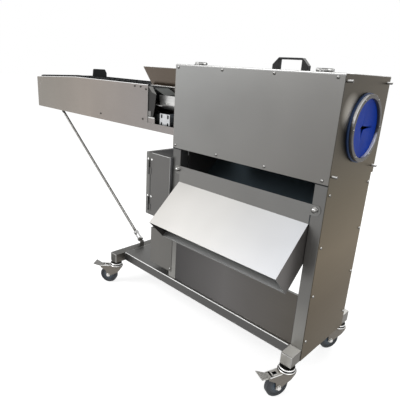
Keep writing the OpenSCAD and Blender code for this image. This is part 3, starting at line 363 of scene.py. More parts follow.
CORNERS = range(1, 5)
FORKS = [f"caster_fork_{number}" for number in CORNERS]
WHEELS = [f"caster_wheel_{number}" for number in CORNERS]
BLADES = [f"knife_arm_{number}" for number in CORNERS]
CONVEYOR_ROLLERS = ("conveyor_drive_roller", "conveyor_tail_roller")
GRIPS = {"feed_roller_1": "feed_1_spin", "feed_roller_2": "feed_2_spin", "feed_roller_3": "feed_3_spin",
         "upper_roller_1": "upper_1_spin", "upper_roller_2": "upper_2_spin"}

paint(COVER, "front_cover")
paint(END_PLATE, "right_side_plate")
paint(LEFT_PLATE, "left_end_plate")
paint(BACK, "back_cover")
paint(LID, "lid", "top_strip")
paint(CHUTE, "peel_chute")
paint(PANEL, "lower_panel")
paint(POST, "posts")
paint(TUBE, "frame_rails", "side_guard")
paint(CROSS_TUBE, "base_cross_tubes")
paint(TRAY, "base_tray")
paint(INNER, "inner_wall", "conveyor_bed")
paint(BOX, "control_box", "control_door")
paint(CONVEYOR, "conveyor_panels")
paint(WING_SHADE, "inlet_hopper")
paint(TROUGH, "feed_trough")
paint(BRIGHT, "cover_screws", "side_studs", *CONVEYOR_ROLLERS)
paint(HINGE, "lid_hinges")
paint(POLISHED_HIGHLIGHT, "chute_bolts")
paint(RING_SIDE, "discharge_ring")
paint(SHADE, "stay_rod")
paint(CASTER_DARK, "caster_mounts")
paint(CASTER, *FORKS)
paint(PEDAL, "brake_pedal_1")
paint(PEDAL_SHADED, "brake_pedal_2")
paint(BLADE, *BLADES)
paint(HANDLE, "lid_handle", "speed_knob")
paint(MEMBRANE, "discharge_membrane")
paint(MOTOR, "gear_motor")
paint(CHAIN, "motor_sprocket", "drive_chains", "conveyor_sprocket")
paint(ROLLER, *GRIPS)
paint(BELT, "conveyor_belt")
paint(PLATE, "conveyor_motor")
paint(WHEEL, *WHEELS)
paint(RED, "emergency_stop", "stop_button")
paint(GREEN, "start_button")

CHUTE_COVER_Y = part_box("peel_chute")[0].y + 0.14
CHUTE_COVER_Z = 0.5
SHAFT_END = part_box("conveyor_panels")[0].y + 0.002
RIGHT_TUBE = 1.0
TRAY_DECK = 0.2
SLIDE_X = 0.15
SLIDE_Z = 1.067
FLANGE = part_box("conveyor_motor")[0] + Vector((0, 0.006, 0.012))


def on_slope(centre, normal):
    return normal.z > 0.5 and normal.y < -0.3


# Painted light and shade on the chute: the sloped floor and the cover top lit, the side faces shaded.
paint_where("peel_chute", CHUTE_FLOOR, on_slope)
paint_where("peel_chute", CHUTE_TOP, lambda centre, normal: on_slope(centre, normal)
            and centre.z > CHUTE_COVER_Z and centre.y < CHUTE_COVER_Y)
paint_where("peel_chute", CHUTE_SIDE, lambda centre, normal: abs(normal.x) > 0.9)
# Painted light on the first fork's upward faces, painted shade on the others.
for fork in FORKS:
    paint_where(fork, FORK_DECK if fork == FORKS[0] else PEDAL_SHADED, facing(Z, 0.3))
paint_where("chute_bolts", EDGE_HIGHLIGHT, facing(Z, 0.35))
# The inside faces of the back cover are painted in bluish shade.
paint_where("back_cover", BACK_INSIDE_SHADE, facing(-Y, 0.9))
# The tray's top faces are painted lighter, as lit.
paint_where("base_tray", TRAY_TOP, lambda centre, normal: normal.z > 0.9 and centre.z < TRAY_DECK)
# The box's top and right side are painted in shade.
paint_where("control_box", BOX_TOP_SHADE, facing(Z, 0.9))
paint_where("control_box", BOX_SIDE_SHADE, facing(X, 0.9))
paint_where("control_door", DOOR, facing(-Y, 0.9))
for roller in CONVEYOR_ROLLERS:
    paint_where(roller, CONVEYOR, lambda centre, normal: normal.y < -0.9 and centre.y < SHAFT_END)
# The lip's down-facing faces are painted in shade.
paint_where("peel_chute", CHUTE_LIP, lambda centre, normal: normal.y < -0.3 and normal.z < -0.2)
# Painted light, highlight and shade on the cross tubes' faces by direction.
paint_where("base_cross_tubes", TUBE_END, lambda centre, normal: centre.x > RIGHT_TUBE and normal.y < -0.9)
paint_where("base_cross_tubes", TUBE_TOP_HIGHLIGHT, lambda centre, normal: centre.x > RIGHT_TUBE and normal.z > 0.9)
paint_where("base_cross_tubes", TUBE_SIDE, facing(X, 0.9))
# The ring's face turned right is painted in shade.
paint_where("discharge_ring", RING_FACE, facing(X, 0.7))
paint_where("feed_trough", SLIDE, lambda centre, normal: centre.z > SLIDE_Z and centre.x < SLIDE_X)
paint_where("conveyor_motor", MOTOR, lambda centre, normal: centre.y > FLANGE.y and centre.z > FLANGE.z)


# Softened edges on the CAD nodes


def edge_round(made, width, segments=3):
    """Eases the sharp edges of an object by a width in millimetres."""
    bevel = made.modifiers.new("bevel", "BEVEL")
    bevel.width = width * MM
    bevel.segments = segments
    bevel.limit_method = "ANGLE"
    bevel.angle_limit = SHARP
    bevel.harden_normals = True
    return bevel


def soften(width, *names, segments=2, edge=None):
    """Eases the edges of CAD nodes; an edge material paints a highlight on the eased strip."""
    for name in names:
        weld = nodes[name].modifiers.new("weld", "WELD")
        weld.merge_threshold = 0.00001
        bevel = edge_round(nodes[name], width, segments)
        if edge:
            nodes[name].data.materials.append(edge)
            bevel.material = len(nodes[name].data.materials) - 1


soften(0.7, "front_cover", "right_side_plate", "left_end_plate", "back_cover", "lower_panel", "side_guard")
soften(0.8, "top_strip", "lid", "inlet_hopper", edge=EDGE_HIGHLIGHT)
soften(0.8, "conveyor_panels", edge=SOFT_HIGHLIGHT)
soften(0.9, "peel_chute", edge=SOFT_HIGHLIGHT)
soften(4, "control_box", edge=BOX_EDGE_HIGHLIGHT, segments=3)
soften(3, "control_door", "base_tray", edge=SOFT_HIGHLIGHT, segments=3)
soften(3.5, "base_cross_tubes", edge=SOFT_HIGHLIGHT, segments=3)
soften(2.5, "posts", segments=3)
soften(2, "lid_handle", segments=3)
soften(1.2, "discharge_ring")
soften(1.6, *FORKS, edge=EDGE_HIGHLIGHT)
soften(0.9, "brake_pedal_1", "brake_pedal_2", edge=SOFT_HIGHLIGHT)
soften(0.8, "chute_bolts")


# Shape helpers: outlines, profiles, radii and thicknesses are in millimetres, places in metres


def piece(name, bm, material, body="machine", smooth=True, weld=True):
    """Turns a bmesh in the row frame into an object that rides on a body."""
    if weld:
        bmesh.ops.remove_doubles(bm, verts=bm.verts, dist=WELD)
    bmesh.ops.recalc_face_normals(bm, faces=bm.faces)
    mesh = bpy.data.meshes.new(name)
    bm.to_mesh(mesh)
    bm.free()
    mesh.materials.append(material)
    if smooth:
        mesh.shade_smooth()
        mesh.set_sharp_from_angle(angle=SMOOTH)
    made = bpy.data.objects.new(name, mesh)
    scene.collection.objects.link(made)
    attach(made, body)
    return made


def skin(bm, rings, ends="capped"):
    """Joins rings of points, each to the next; the ends are capped, open or joined to each other."""
    rows = [[bm.verts.new(point) for point in ring] for ring in rings]
    if ends == "capped":
        bm.faces.new(rows[0])
        bm.faces.new(rows[-1])
    if ends == "joined":
        rows.append(rows[0])
    for low, high in zip(rows, rows[1:]):
        for side in range(len(low)):
            after = (side + 1) % len(low)
            bm.faces.new((low[side], low[after], high[after], high[side]))


def spaced(count):
    """Angles spaced evenly round a full turn."""
    return [TURN * number / count for number in range(count)]


def around(angle, first, second):
    """The direction at an angle from a first one towards a second."""
    return first * math.cos(angle) + second * math.sin(angle)


def flat(angle):
    """A direction in the plane of X and Z, as two numbers."""
    return Vector((math.cos(angle), math.sin(angle)))


def upright(origin, axis):
    """The matrix that puts local Z on the axis and the local origin at a point."""
    return Matrix.Translation(origin) @ Vector(axis).to_track_quat("Z", "Y").to_matrix().to_4x4()


def framed(spot, x, y, z):
    """The matrix that puts the local axes on three directions and the local origin at a point."""
    return Matrix.Translation(spot) @ Matrix((x, y, z)).transposed().to_4x4()


def front(spot):
    """The matrix that stands a flat outline up at a point, in X and Z."""
    return framed(spot, X, Z, Y)


def lathe(bm, profile, place, sides=24, hexed=(), ends="capped"):
    """Turns (radius, height) points about local Z; the points numbered in hexed lie on a hexagon."""
    rings = []
    for number, (radius, height) in enumerate(profile):
        ring = []
        for angle in spaced(sides):
            reach = radius
            if number in hexed:
                reach = radius * math.cos(math.pi / 6) / math.cos(angle % (math.pi / 3) - math.pi / 6)
            ring.append(place @ ((around(angle, X, Y) * reach + Z * height) * MM))
        rings.append(ring)
    skin(bm, rings, ends)


def lathe_ring(bm, base, axis, inner, outer, height):
    """A ring with eased outer edges standing on its base point."""
    ease = height * 0.3
    profile = [(inner, 0), (outer, 0), (outer, height - ease), (outer - ease, height), (inner, height)]
    lathe(bm, profile, upright(base, axis), 40, ends="joined")


def slab(bm, outline, place, thick):
    """A flat plate with its outline in local X and Y, standing from local Z 0."""
    skin(bm, [[place @ (Vector((x, y, z)) * MM) for x, y in outline] for z in (0, thick)])


def across(bm, outline, y0, y1):
    """A solid with its outline in X and Z, in metres, between two places along Y."""
    skin(bm, [[(spot.x, y, spot.y) for spot in outline] for y in (y0, y1)])


def strand(bm, points, outs, radius, sides=6):
    """A tube through the points, with the outward direction given at each."""
    rings = []
    for number, (point, out) in enumerate(zip(points, outs)):
        ahead = points[min(number + 1, len(points) - 1)] - points[max(number - 1, 0)]
        side = ahead.normalized().cross(out).normalized()
        rings.append([point + around(angle, out, side) * radius * MM for angle in spaced(sides)])
    skin(bm, rings, "open")


def rectangle(x0, y0, x1, y1):
    return [(x0, y0), (x1, y0), (x1, y1), (x0, y1)]


def rounded(corners, radius, steps=5):
    """A polygon with its corners rounded."""
    found = []
    count = len(corners)
    for number in range(count):
        corner = Vector(corners[number])
        before = (Vector(corners[number - 1]) - corner).normalized()
        after = (Vector(corners[(number + 1) % count]) - corner).normalized()
        back = radius / math.tan(before.angle(after) / 2)
        start, end = corner + before * back, corner + after * back
        for step in range(steps + 1):
            share = step / steps
            found.append(start * (1 - share) ** 2 + corner * 2 * share * (1 - share) + end * share ** 2)
    return [(p.x, p.y) for p in found]


def at(x, y, z):
    """A point given in the part's own millimetres, from the right plate, the posts' front and the floor."""
    return Vector((x + 1166.5, y - 123.5, z)) * MM


def islands(name):
    """Boxes of the separate solids of a CAD node."""
    bm = bmesh.new()
    bm.from_mesh(nodes[name].data)
    bmesh.ops.remove_doubles(bm, verts=bm.verts, dist=WELD)
    left = set(bm.verts)
    found = []
    while left:
        group = [left.pop()]
        for vert in group:
            linked = {edge.other_vert(vert) for edge in vert.link_edges} & left
            left -= linked
            group.extend(linked)
        spots = [vert.co.copy() for vert in group]
        found.append([Vector(pick(values) for values in zip(*spots)) for pick in (min, max)])
    bm.free()
    return sorted(found, key=lambda box: [round(value, 5) for value in box[0]])


def joint_named(name):
    return next(joint for joint in frame["joints"] if joint["name"] == name)


def axis_of(joint):
    """Where a joint's axis crosses the X and Z plane."""
    x, _, z = joint_named(joint)["pos_m"]
    return Vector((x, z))


# Screw heads and studs

HEAD = [(1.0, 0), (1.0, 0.22), (0.95, 0.5), (0.8, 0.82), (0.58, 1.0), (0.46, 1.0), (0.42, 0.4)]
HEAD_SOCKET = (5, 6)


def button_head(bm, base, axis, radius, height):
    """A domed socket screw head standing on its base point."""
    lathe(bm, [(radius * r, height * h) for r, h in HEAD], upright(base, axis), hexed=HEAD_SOCKET)


bm = bmesh.new()
for low, high in islands("cover_screws"):
    size = (high - low) / MM
    middle = (low + high) / 2
    if size.y < size.x:
        button_head(bm, Vector((middle.x, high.y, middle.z)), -Y, size.x / 2, size.y)
    else:
        button_head(bm, Vector((low.x, middle.y, middle.z)), X, size.y / 2, size.x)
CONVEYOR_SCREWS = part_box("front_cover")[0].x - 0.05
# Painted highlight on the heads' upward faces; the conveyor's screw heads painted in shade.
screws = piece("screw_heads", bm, POLISHED_HIGHLIGHT)
paint_where(screws, SHADE, lambda centre, normal: centre.x < CONVEYOR_SCREWS)
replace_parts(screws, "cover_screws")

bm = bmesh.new()
for low, high in islands("side_studs"):
    radius = (high.y - low.y) / 2 / MM
    length = (high.x - low.x) / MM
    root = Vector((low.x, (low.y + high.y) / 2, (low.z + high.z) / 2))
    lathe(bm, [(radius, 0), (radius, length * 0.15), (radius * 0.94, length * 0.18),
               (radius * 0.94, length - 2), (radius * 0.8, length - 0.7), (radius * 0.55, length)],
          upright(root, X), 28)
# Painted highlight on the studs' upward faces; their ends painted in shade.
studs = piece("stud_rods", bm, POLISHED_HIGHLIGHT)
paint_where(studs, SHADE, facing(X, 0.5))
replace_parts(studs, "side_studs")


# Discharge membrane: one dished rubber disc with slits that stand a little open

PORT_LOW, PORT_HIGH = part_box("discharge_membrane")
PORT = (PORT_LOW + PORT_HIGH) / 2
RIM = (PORT_HIGH.y - PORT_LOW.y) / 2
CLAMPED = 104 * MM
PAINTED_RIM = 114 * MM
HOLE = 9 * MM
DISH = 7 * MM
CURL = 1.2 * MM
PETAL_STEPS = 16
RADIAL_STEPS = 24
# Length and half opening of the slits to the right, up, left and down
SLITS = ((84, 6.5), (12, 1.0), (16, 4.0), (38, 8.0))


def slit_angle(slit, radius):
    """Half the angle by which a slit stands open at a radius."""
    length, half = slit
    share = max(0, 1 - (radius - HOLE) / (length * MM - HOLE))
    return math.asin(min(1, half * MM * share / radius))


bm = bmesh.new()
for petal, (first, last) in enumerate(zip(SLITS, SLITS[1:] + SLITS[:1])):
    grid = []
    for step in range(RADIAL_STEPS + 1):
        radius = HOLE + (RIM - HOLE) * step / RADIAL_STEPS
        start = TURN / 4 * petal + slit_angle(first, radius)
        end = TURN / 4 * (petal + 1) - slit_angle(last, radius)
        sink = DISH * max(0, 1 - (radius / CLAMPED) ** 6)
        row = []
        for part in range(PETAL_STEPS + 1):
            share = part / PETAL_STEPS
            angle = start + (end - start) * share
            curl = CURL * max(0, 1 - radius / CLAMPED) * abs(2 * share - 1) ** 3
            spot = Vector((PORT_HIGH.x - sink - curl, PORT.y, PORT.z)) + around(angle, Y, Z) * radius
            row.append(bm.verts.new(spot))
        grid.append(row)
    for inner, outer in zip(grid, grid[1:]):
        for part in range(PETAL_STEPS):
            bm.faces.new((inner[part], outer[part], outer[part + 1], inner[part + 1]))
membrane = piece("membrane_disc", bm, MEMBRANE)
thickness = membrane.modifiers.new("thickness", "SOLIDIFY")
thickness.thickness = PORT_HIGH.x - PORT_LOW.x
thickness.offset = -1
# The rim under the clamp ring is painted in shade.
paint_where(membrane, MEMBRANE_RIM_SHADE, lambda centre, normal: (centre - PORT).length > PAINTED_RIM)
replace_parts(membrane, "discharge_membrane")


# Roller chains and sprocket teeth

LINK_T = 1.1 * MM
LINK_INSET = 1.2 * MM
TOOTH = [(-5, -2.4), (0, -1.7), (2.2, -0.8), (2.2, 0.8), (0, 1.7), (-5, 2.4)]
TOOTH_HALF = 1.5 * MM
SPROCKET = 28 * MM
SPROCKET_TEETH = 16
SMALL_SPROCKET = 20 * MM
SMALL_TEETH = 12


def stadium(start, end, radius, count):
    """Points spaced evenly round a chain run between two axes, in X and Z."""
    span = end - start
    length = span.length
    tilt = math.atan2(span.y, span.x)
    bend = math.pi * radius
    found = []
    for number in range(count):
        walk = 2 * (length + bend) * number / count
        if walk < length:
            local = Vector((walk, radius))
        elif walk < length + bend:
            turn = math.pi / 2 - (walk - length) / radius
            local = Vector((length, 0)) + radius * flat(turn)
        elif walk < 2 * length + bend:
            local = Vector((2 * length + bend - walk, -radius))
        else:
            turn = -math.pi / 2 - (walk - 2 * length - bend) / radius
            local = radius * flat(turn)
        found.append(start + Matrix.Rotation(tilt, 2) @ local)
    return found


def bar_link(bm, a, b, y, half):
    """A chain side plate with round ends from pin a to pin b."""
    heading = math.atan2(b.y - a.y, b.x - a.x)
    outline = []
    for centre, first in ((b, -90), (a, 90)):
        for step in range(5):
            turn = heading + math.radians(first + 45 * step)
            outline.append(centre + half * MM * flat(turn))
    across(bm, outline, y, y + LINK_T)


def chain(bm, start, end, radius, pitch, y0, width, half):
    """Links and rollers round a run, the half height of a link in millimetres."""
    length = 2 * (end - start).length + TURN * radius
    count = 2 * round(length / pitch / 2)
    pins = stadium(start, end, radius, count)
    for number, pin in enumerate(pins):
        inset = 0 if number % 2 else LINK_INSET
        for y in (y0 + inset, y0 + width - inset - LINK_T):
            bar_link(bm, pin, pins[(number + 1) % count], y, half)
        roller = half * 0.8
        lathe(bm, [(roller, 0), (roller, width / MM - 2)], upright((pin.x, y0 + MM, pin.y), Y), 10)


def toothed(bm, centre, radius, teeth, y):
    """A ring of sprocket teeth standing between the chain rollers."""
    for angle in spaced(teeth):
        angle += math.pi / teeth
        out = flat(angle)
        along = Vector((-out.y, out.x))
        outline = [centre + out * (radius + reach * MM) + along * side * MM for reach, side in TOOTH]
        across(bm, outline, y - TOOTH_HALF, y + TOOTH_HALF)


chain_runs = islands("drive_chains")
feed_run, = [b for b in chain_runs if b[1].x - b[0].x > 0.4]
motor_run, = [b for b in chain_runs if b[1].z - b[0].z > 0.3]
conveyor_run, = [b for b in chain_runs if b not in (feed_run, motor_run)]

bm = bmesh.new()
for (low, high), first, last, radius, teeth, half in (
        (feed_run, "feed_1_spin", "feed_3_spin", SPROCKET, SPROCKET_TEETH, 3.8),
        (motor_run, "motor_spin", "feed_2_spin", SPROCKET, SPROCKET_TEETH, 3.8),
        (conveyor_run, "conveyor_motor_spin", "conveyor_drive_spin", SMALL_SPROCKET, SMALL_TEETH, 2.9)):
    pitch = TURN * radius / teeth
    chain(bm, axis_of(first), axis_of(last), radius, pitch, low.y, high.y - low.y, half)
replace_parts(piece("chain_links", bm, CHAIN, smooth=False, weld=False), "drive_chains")

for name, (low, high), radius, teeth in (("motor", motor_run, SPROCKET, SPROCKET_TEETH),
                                         ("conveyor", conveyor_run, SMALL_SPROCKET, SMALL_TEETH)):
    bm = bmesh.new()
    spin = "motor_spin" if name == "motor" else "conveyor_motor_spin"
    toothed(bm, axis_of(spin), radius, teeth, (low.y + high.y) / 2)
    piece(name + "_teeth", bm, CHAIN, name + "_sprocket", smooth=False)


# Conveyor belt: hinged slats with raised edges round the rollers, and two pusher flights

BELT_LOW, BELT_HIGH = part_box("conveyor_belt")
BELT_Y = (BELT_LOW.y + BELT_HIGH.y) / 2
BELT_HALF = 72 * MM
BELT_STEP = 2.5 * MM
PITCH_LINE = 42.3 * MM
SLAT = 25.4 * MM
NOSE_FROM_TAIL = 477.7 * MM
BEND_STEPS = 24
LUG = 9 * MM
LUG_OUTLINE = [(0.02, 0), (0.98, 0), (0.94, 11), (0.06, 11)]
BELT_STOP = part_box("conveyor_panels")[0].x + 0.3 * MM
SLAT_OUTLINE = [(0.03, -1.9), (0.97, -1.9), (0.97, 0.9), (0.8, 1.9), (0.62, 1.9), (0.56, 4.2), (0.44, 4.2),
                (0.38, 1.9), (0.2, 1.9), (0.03, 0.9)]
drive, tail = axis_of("conveyor_drive_spin"), axis_of("conveyor_tail_spin")

track = [Vector((x, drive.y + PITCH_LINE)) for x in (drive.x, tail.x + NOSE_FROM_TAIL)]
for roller, first in ((tail, math.pi / 2), (drive, -math.pi / 2)):
    for step in range(BEND_STEPS + 1):
        turn = first + math.pi * step / BEND_STEPS
        track.append(roller + PITCH_LINE * flat(turn))
marks = [0.0]
for a, b in zip(track, track[1:]):
    marks.append(marks[-1] + (b - a).length)


def on_track(walk):
    """The point at a distance along the belt's path."""
    walk = walk % marks[-1]
    for number in range(len(track) - 1):
        if marks[number + 1] >= walk and marks[number + 1] > marks[number]:
            share = (walk - marks[number]) / (marks[number + 1] - marks[number])
            return track[number].lerp(track[number + 1], share)
    return track[-1]


bm = bmesh.new()
slats = round(marks[-1] / SLAT)
for number in range(slats):
    start = on_track(marks[-1] * number / slats)
    ahead = on_track(marks[-1] * (number + 1) / slats) - start
    out = Vector((ahead.y, -ahead.x)).normalized() * MM
    half = BELT_HALF - (0 if number % 2 else BELT_STEP)
    across(bm, [start + ahead * t + out * n for t, n in SLAT_OUTLINE], BELT_Y - half, BELT_Y + half)
    lug = [start + ahead * t + out * n for t, n in LUG_OUTLINE]
    for spot in lug:
        spot.x = max(spot.x, BELT_STOP)
    for side in (-1, 1):
        across(bm, lug, BELT_Y + side * half, BELT_Y + side * (half - LUG))
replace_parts(piece("belt_slats", bm, BELT, smooth=False, weld=False), "conveyor_belt")

FLIGHT_H = 53
FLIGHT_T = 14
FLIGHT = rounded([(-48, 0), (48, 0), (48, FLIGHT_H * 0.6), (36, FLIGHT_H), (-42, FLIGHT_H)], 9)
bm = bmesh.new()
for x, foot, up in ((-1690, BELT_HIGH.z - FLIGHT_H * MM, 1), (-1400, BELT_LOW.z + FLIGHT_H * MM, -1)):
    spot = (at(x - FLIGHT_T / 2, 0, 0).x, BELT_Y, foot)
    slab(bm, FLIGHT, framed(spot, Y * up, Z * up, X), FLIGHT_T)
edge_round(piece("belt_flights", bm, BELT), 2)


# Gear motor: fins, fan cowl, terminal box and gearbox screws

MOTOR_LOW, MOTOR_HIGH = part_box("gear_motor")
CAN_R = 46
CAN_Y = (MOTOR_LOW.y + MOTOR_HIGH.y) / 2
MOTOR_X, MOTOR_Z = axis_of("motor_spin")
GEAR_LEFT = MOTOR_X - 50 * MM
FIN = [(0, 0), (125, 0), (125, 2.5), (120, 6), (5, 6), (0, 2.5)]
FIN_T = 1.8
FINS = 18
COWL = [(CAN_R + 3, 0), (CAN_R + 3, 34), (CAN_R, 40), (CAN_R * 0.72, 43), (CAN_R * 0.7, 41),
        (CAN_R * 0.55, 41), (CAN_R * 0.53, 43), (CAN_R * 0.36, 43), (CAN_R * 0.34, 41), (CAN_R * 0.2, 41),
        (CAN_R * 0.18, 43)]
COLLAR = [(CAN_R + 2, 0), (CAN_R + 2, 8), (CAN_R - 1, 10)]
TERMINAL = Vector((GEAR_LEFT - 72 * MM, CAN_Y, MOTOR_Z + (CAN_R - 4) * MM))
TERMINAL_BOX = rounded(rectangle(-34, -26, 34, 26), 6)
TERMINAL_LID = [(x * 1.05, y * 1.06) for x, y in TERMINAL_BOX]
bm = bmesh.new()
for angle in spaced(FINS):
    if not -0.8 <= math.sin(angle) <= 0.9:
        continue
    out = around(angle, Y, Z)
    side = X.cross(out)
    root = Vector((GEAR_LEFT - 135 * MM, CAN_Y, MOTOR_Z)) + out * (CAN_R - 1) * MM - side * FIN_T / 2 * MM
    slab(bm, FIN, framed(root, X, out, side), FIN_T)
lathe(bm, COWL, upright((MOTOR_LOW.x + 40 * MM, CAN_Y, MOTOR_Z), -X), 40)
lathe(bm, COLLAR, upright((GEAR_LEFT + 0.5 * MM, CAN_Y, MOTOR_Z), -X), 40)
slab(bm, TERMINAL_BOX, Matrix.Translation(TERMINAL), 30)
slab(bm, TERMINAL_LID, Matrix.Translation(TERMINAL + Z * 24 * MM), 8)
edge_round(piece("motor_fins_and_cowl", bm, MOTOR), 0.8, 2)

bm = bmesh.new()
for sx in (-1, 1):
    for sz in (-1, 1):
        spot = Vector((MOTOR_X + sx * 40 * MM, MOTOR_HIGH.y, MOTOR_Z + sz * 40 * MM))
        button_head(bm, spot, Y, 5, 5)
        button_head(bm, TERMINAL + Vector((sx * 28, sz * 20, 32)) * MM, Z, 2.6, 1.6)
lathe(bm, [(24, 0), (24, 3), (21, 5), (13, 5)], upright((MOTOR_X, MOTOR_HIGH.y, MOTOR_Z), Y), 32)
piece("gearbox_screws", bm, BRIGHT)


# Controls on the box door

DOOR_LOW, DOOR_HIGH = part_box("control_door")
DOOR_FACE = DOOR_LOW.x + 6 * MM
BEZEL_FACE = DOOR_FACE - 6 * MM


def control_spot(name, x):
    """The point on a control's axis at a place along X."""
    low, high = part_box(name)
    return Vector((x, (low.y + high.y) / 2, (low.z + high.z) / 2))


low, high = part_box("emergency_stop")
cap = (high.y - low.y) / 2 / MM
bm = bmesh.new()
lathe(bm, [(10.5, -30), (10.5, 0.5), (cap * 0.8, 1), (cap * 0.98, 3), (cap, 6), (cap * 0.93, 10),
           (cap * 0.7, 13), (cap * 0.35, 14)],
      upright(control_spot("emergency_stop", low.x + 14 * MM), -X), 40)
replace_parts(piece("estop_mushroom", bm, RED, "emergency_stop"), "emergency_stop")

for name, colour, slot in (("start_button", GREEN, "green_plastic"), ("stop_button", RED, "red_plastic")):
    low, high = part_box(name)
    radius = (high.y - low.y) / 2 / MM
    length = (high.x - low.x) / MM
    bm = bmesh.new()
    lathe(bm, [(radius, 0), (radius, length - 2), (radius * 0.94, length - 0.8), (radius * 0.8, length),
               (radius * 0.72, length - 0.7), (radius * 0.3, length - 1.1)],
          upright(control_spot(name, high.x), -X), 32)
    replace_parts(piece(name + "_cap", bm, colour, name), name)

KNOB_R = 16
KNOB_H = 18
FLUTES = 18
KNOB_LEVELS = ((0, 1.0), (0.12, 1.0), (0.15, 0.93), (0.85, 0.9), (0.96, 0.86), (1.0, 0.78))
low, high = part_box("speed_knob")
knob = control_spot("speed_knob", low.x)
bm = bmesh.new()
rings = []
for height, grow in KNOB_LEVELS:
    ring = []
    for angle in spaced(FLUTES * 6):
        flute = 0.035 * math.cos(FLUTES * angle) if 0.13 < height < 0.97 else 0
        reach = KNOB_R * (grow + flute)
        ring.append(knob + (X * KNOB_H * (1 - height) + around(angle, Y, Z) * reach) * MM)
    rings.append(ring)
skin(bm, rings)
shaft = (high.x - low.x) / MM - KNOB_H
lathe(bm, [(4, 0), (4, shaft)], upright(knob + X * KNOB_H * MM, X))
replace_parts(piece("knob_grip", bm, HANDLE, "speed_knob"), "speed_knob")
bm = bmesh.new()
slab(bm, rounded(rectangle(-0.9, 2, 0.9, 12), 0.4, 2), framed(knob + X * 0.2 * MM, -Y, Z, -X), 0.2)
piece("knob_pointer", bm, MARK, "speed_knob")

TICKS = 11
bm = bmesh.new()
for tick in range(TICKS):
    angle = math.radians(225 - 27 * tick)
    out = around(angle, -Y, Z)
    spot = control_spot("speed_knob", DOOR_FACE) + out * 21 * MM
    slab(bm, rectangle(-0.7, 0, 0.7, 5), framed(spot, X.cross(out), out, -X), 0.3)
piece("speed_scale", bm, MARK, "control_door", smooth=False)

bm = bmesh.new()
for name in ("start_button", "stop_button"):
    lathe_ring(bm, control_spot(name, BEZEL_FACE), -X, 11.4, 16, 2.2)
piece("button_bezels", bm, BRIGHT, "control_door")
bm = bmesh.new()
lathe_ring(bm, control_spot("emergency_stop", BEZEL_FACE), -X, 10.9, 19, 0.8)
piece("estop_collar", bm, YELLOW, "control_door")

LATCH = [(14, 0), (14, 1.5), (12.5, 4), (8.5, 4.5), (8, 2), (3.4, 2), (3.4, 4), (2, 4)]
bm = bmesh.new()
latch = Vector((DOOR_FACE, DOOR_HIGH.y - 24 * MM, (DOOR_LOW.z + DOOR_HIGH.z) / 2))
lathe(bm, LATCH, upright(latch, -X), 32)
piece("door_latch", bm, BRIGHT, "control_door")


# Hinge screws

BOX_FACE = -15
bm_lid, bm_fixed, bm_door = bmesh.new(), bmesh.new(), bmesh.new()
for low, high in islands("lid_hinges"):
    x = (low.x + high.x) / 2
    knuckle = (high.x - low.x) / 3
    for offset in (-5.5 * MM, 5.5 * MM):
        button_head(bm_fixed, Vector((x + offset, low.y + 10 * MM, low.z + 2 * MM)), Z, 3, 1.5)
    for side in (-1, 1):
        for offset in (-5 * MM, 5 * MM):
            spot = Vector((x + side * knuckle + offset, low.y + 52 * MM, low.z + 2.3 * MM))
            button_head(bm_lid, spot, Z, 3, 1.5)
for z in (772, 582):
    button_head(bm_fixed, at(-919, BOX_FACE, z), -Y, 5.5, 3.6)
    button_head(bm_door, at(-946, BOX_FACE, z), -Y, 5.5, 3.6)
# The screws on the box face and the door take the painted highlight.
piece("hinge_screws", bm_fixed, EDGE_HIGHLIGHT)
piece("lid_hinge_screws", bm_lid, BRIGHT, "lid")
piece("door_hinge_screws", bm_door, EDGE_HIGHLIGHT, "control_door")


# Casters: axle nuts, two swivel rings painted with a highlight, wheel hubs, fork edges painted as highlight
# lines and ribbed brake pedals

WHEEL_HUB = 24 * MM
LEG_FACE = 19.5 * MM
AXLE_NUT = [(10.5, 0), (10.5, 1.2), (9, 1.3), (9, 6), (7.5, 7), (3, 7)]
LONG_EDGE = ((-30, -1.4), (-86, -7.4))
SHORT_EDGE = ((-30, -3), (-57, -8.4))
DECK_CORNER = ((-9, -66.5, -4.4), (9.5, -66.5, -4.4), (9.5, -46, -3.1))


def off_axis(point, joint):
    """Distance of a point from a joint's axis."""
    start, axis = Vector(joint["pos_m"]), Vector(joint["axis"]).normalized()
    away = point - start
    return (away - axis * away.dot(axis)).length


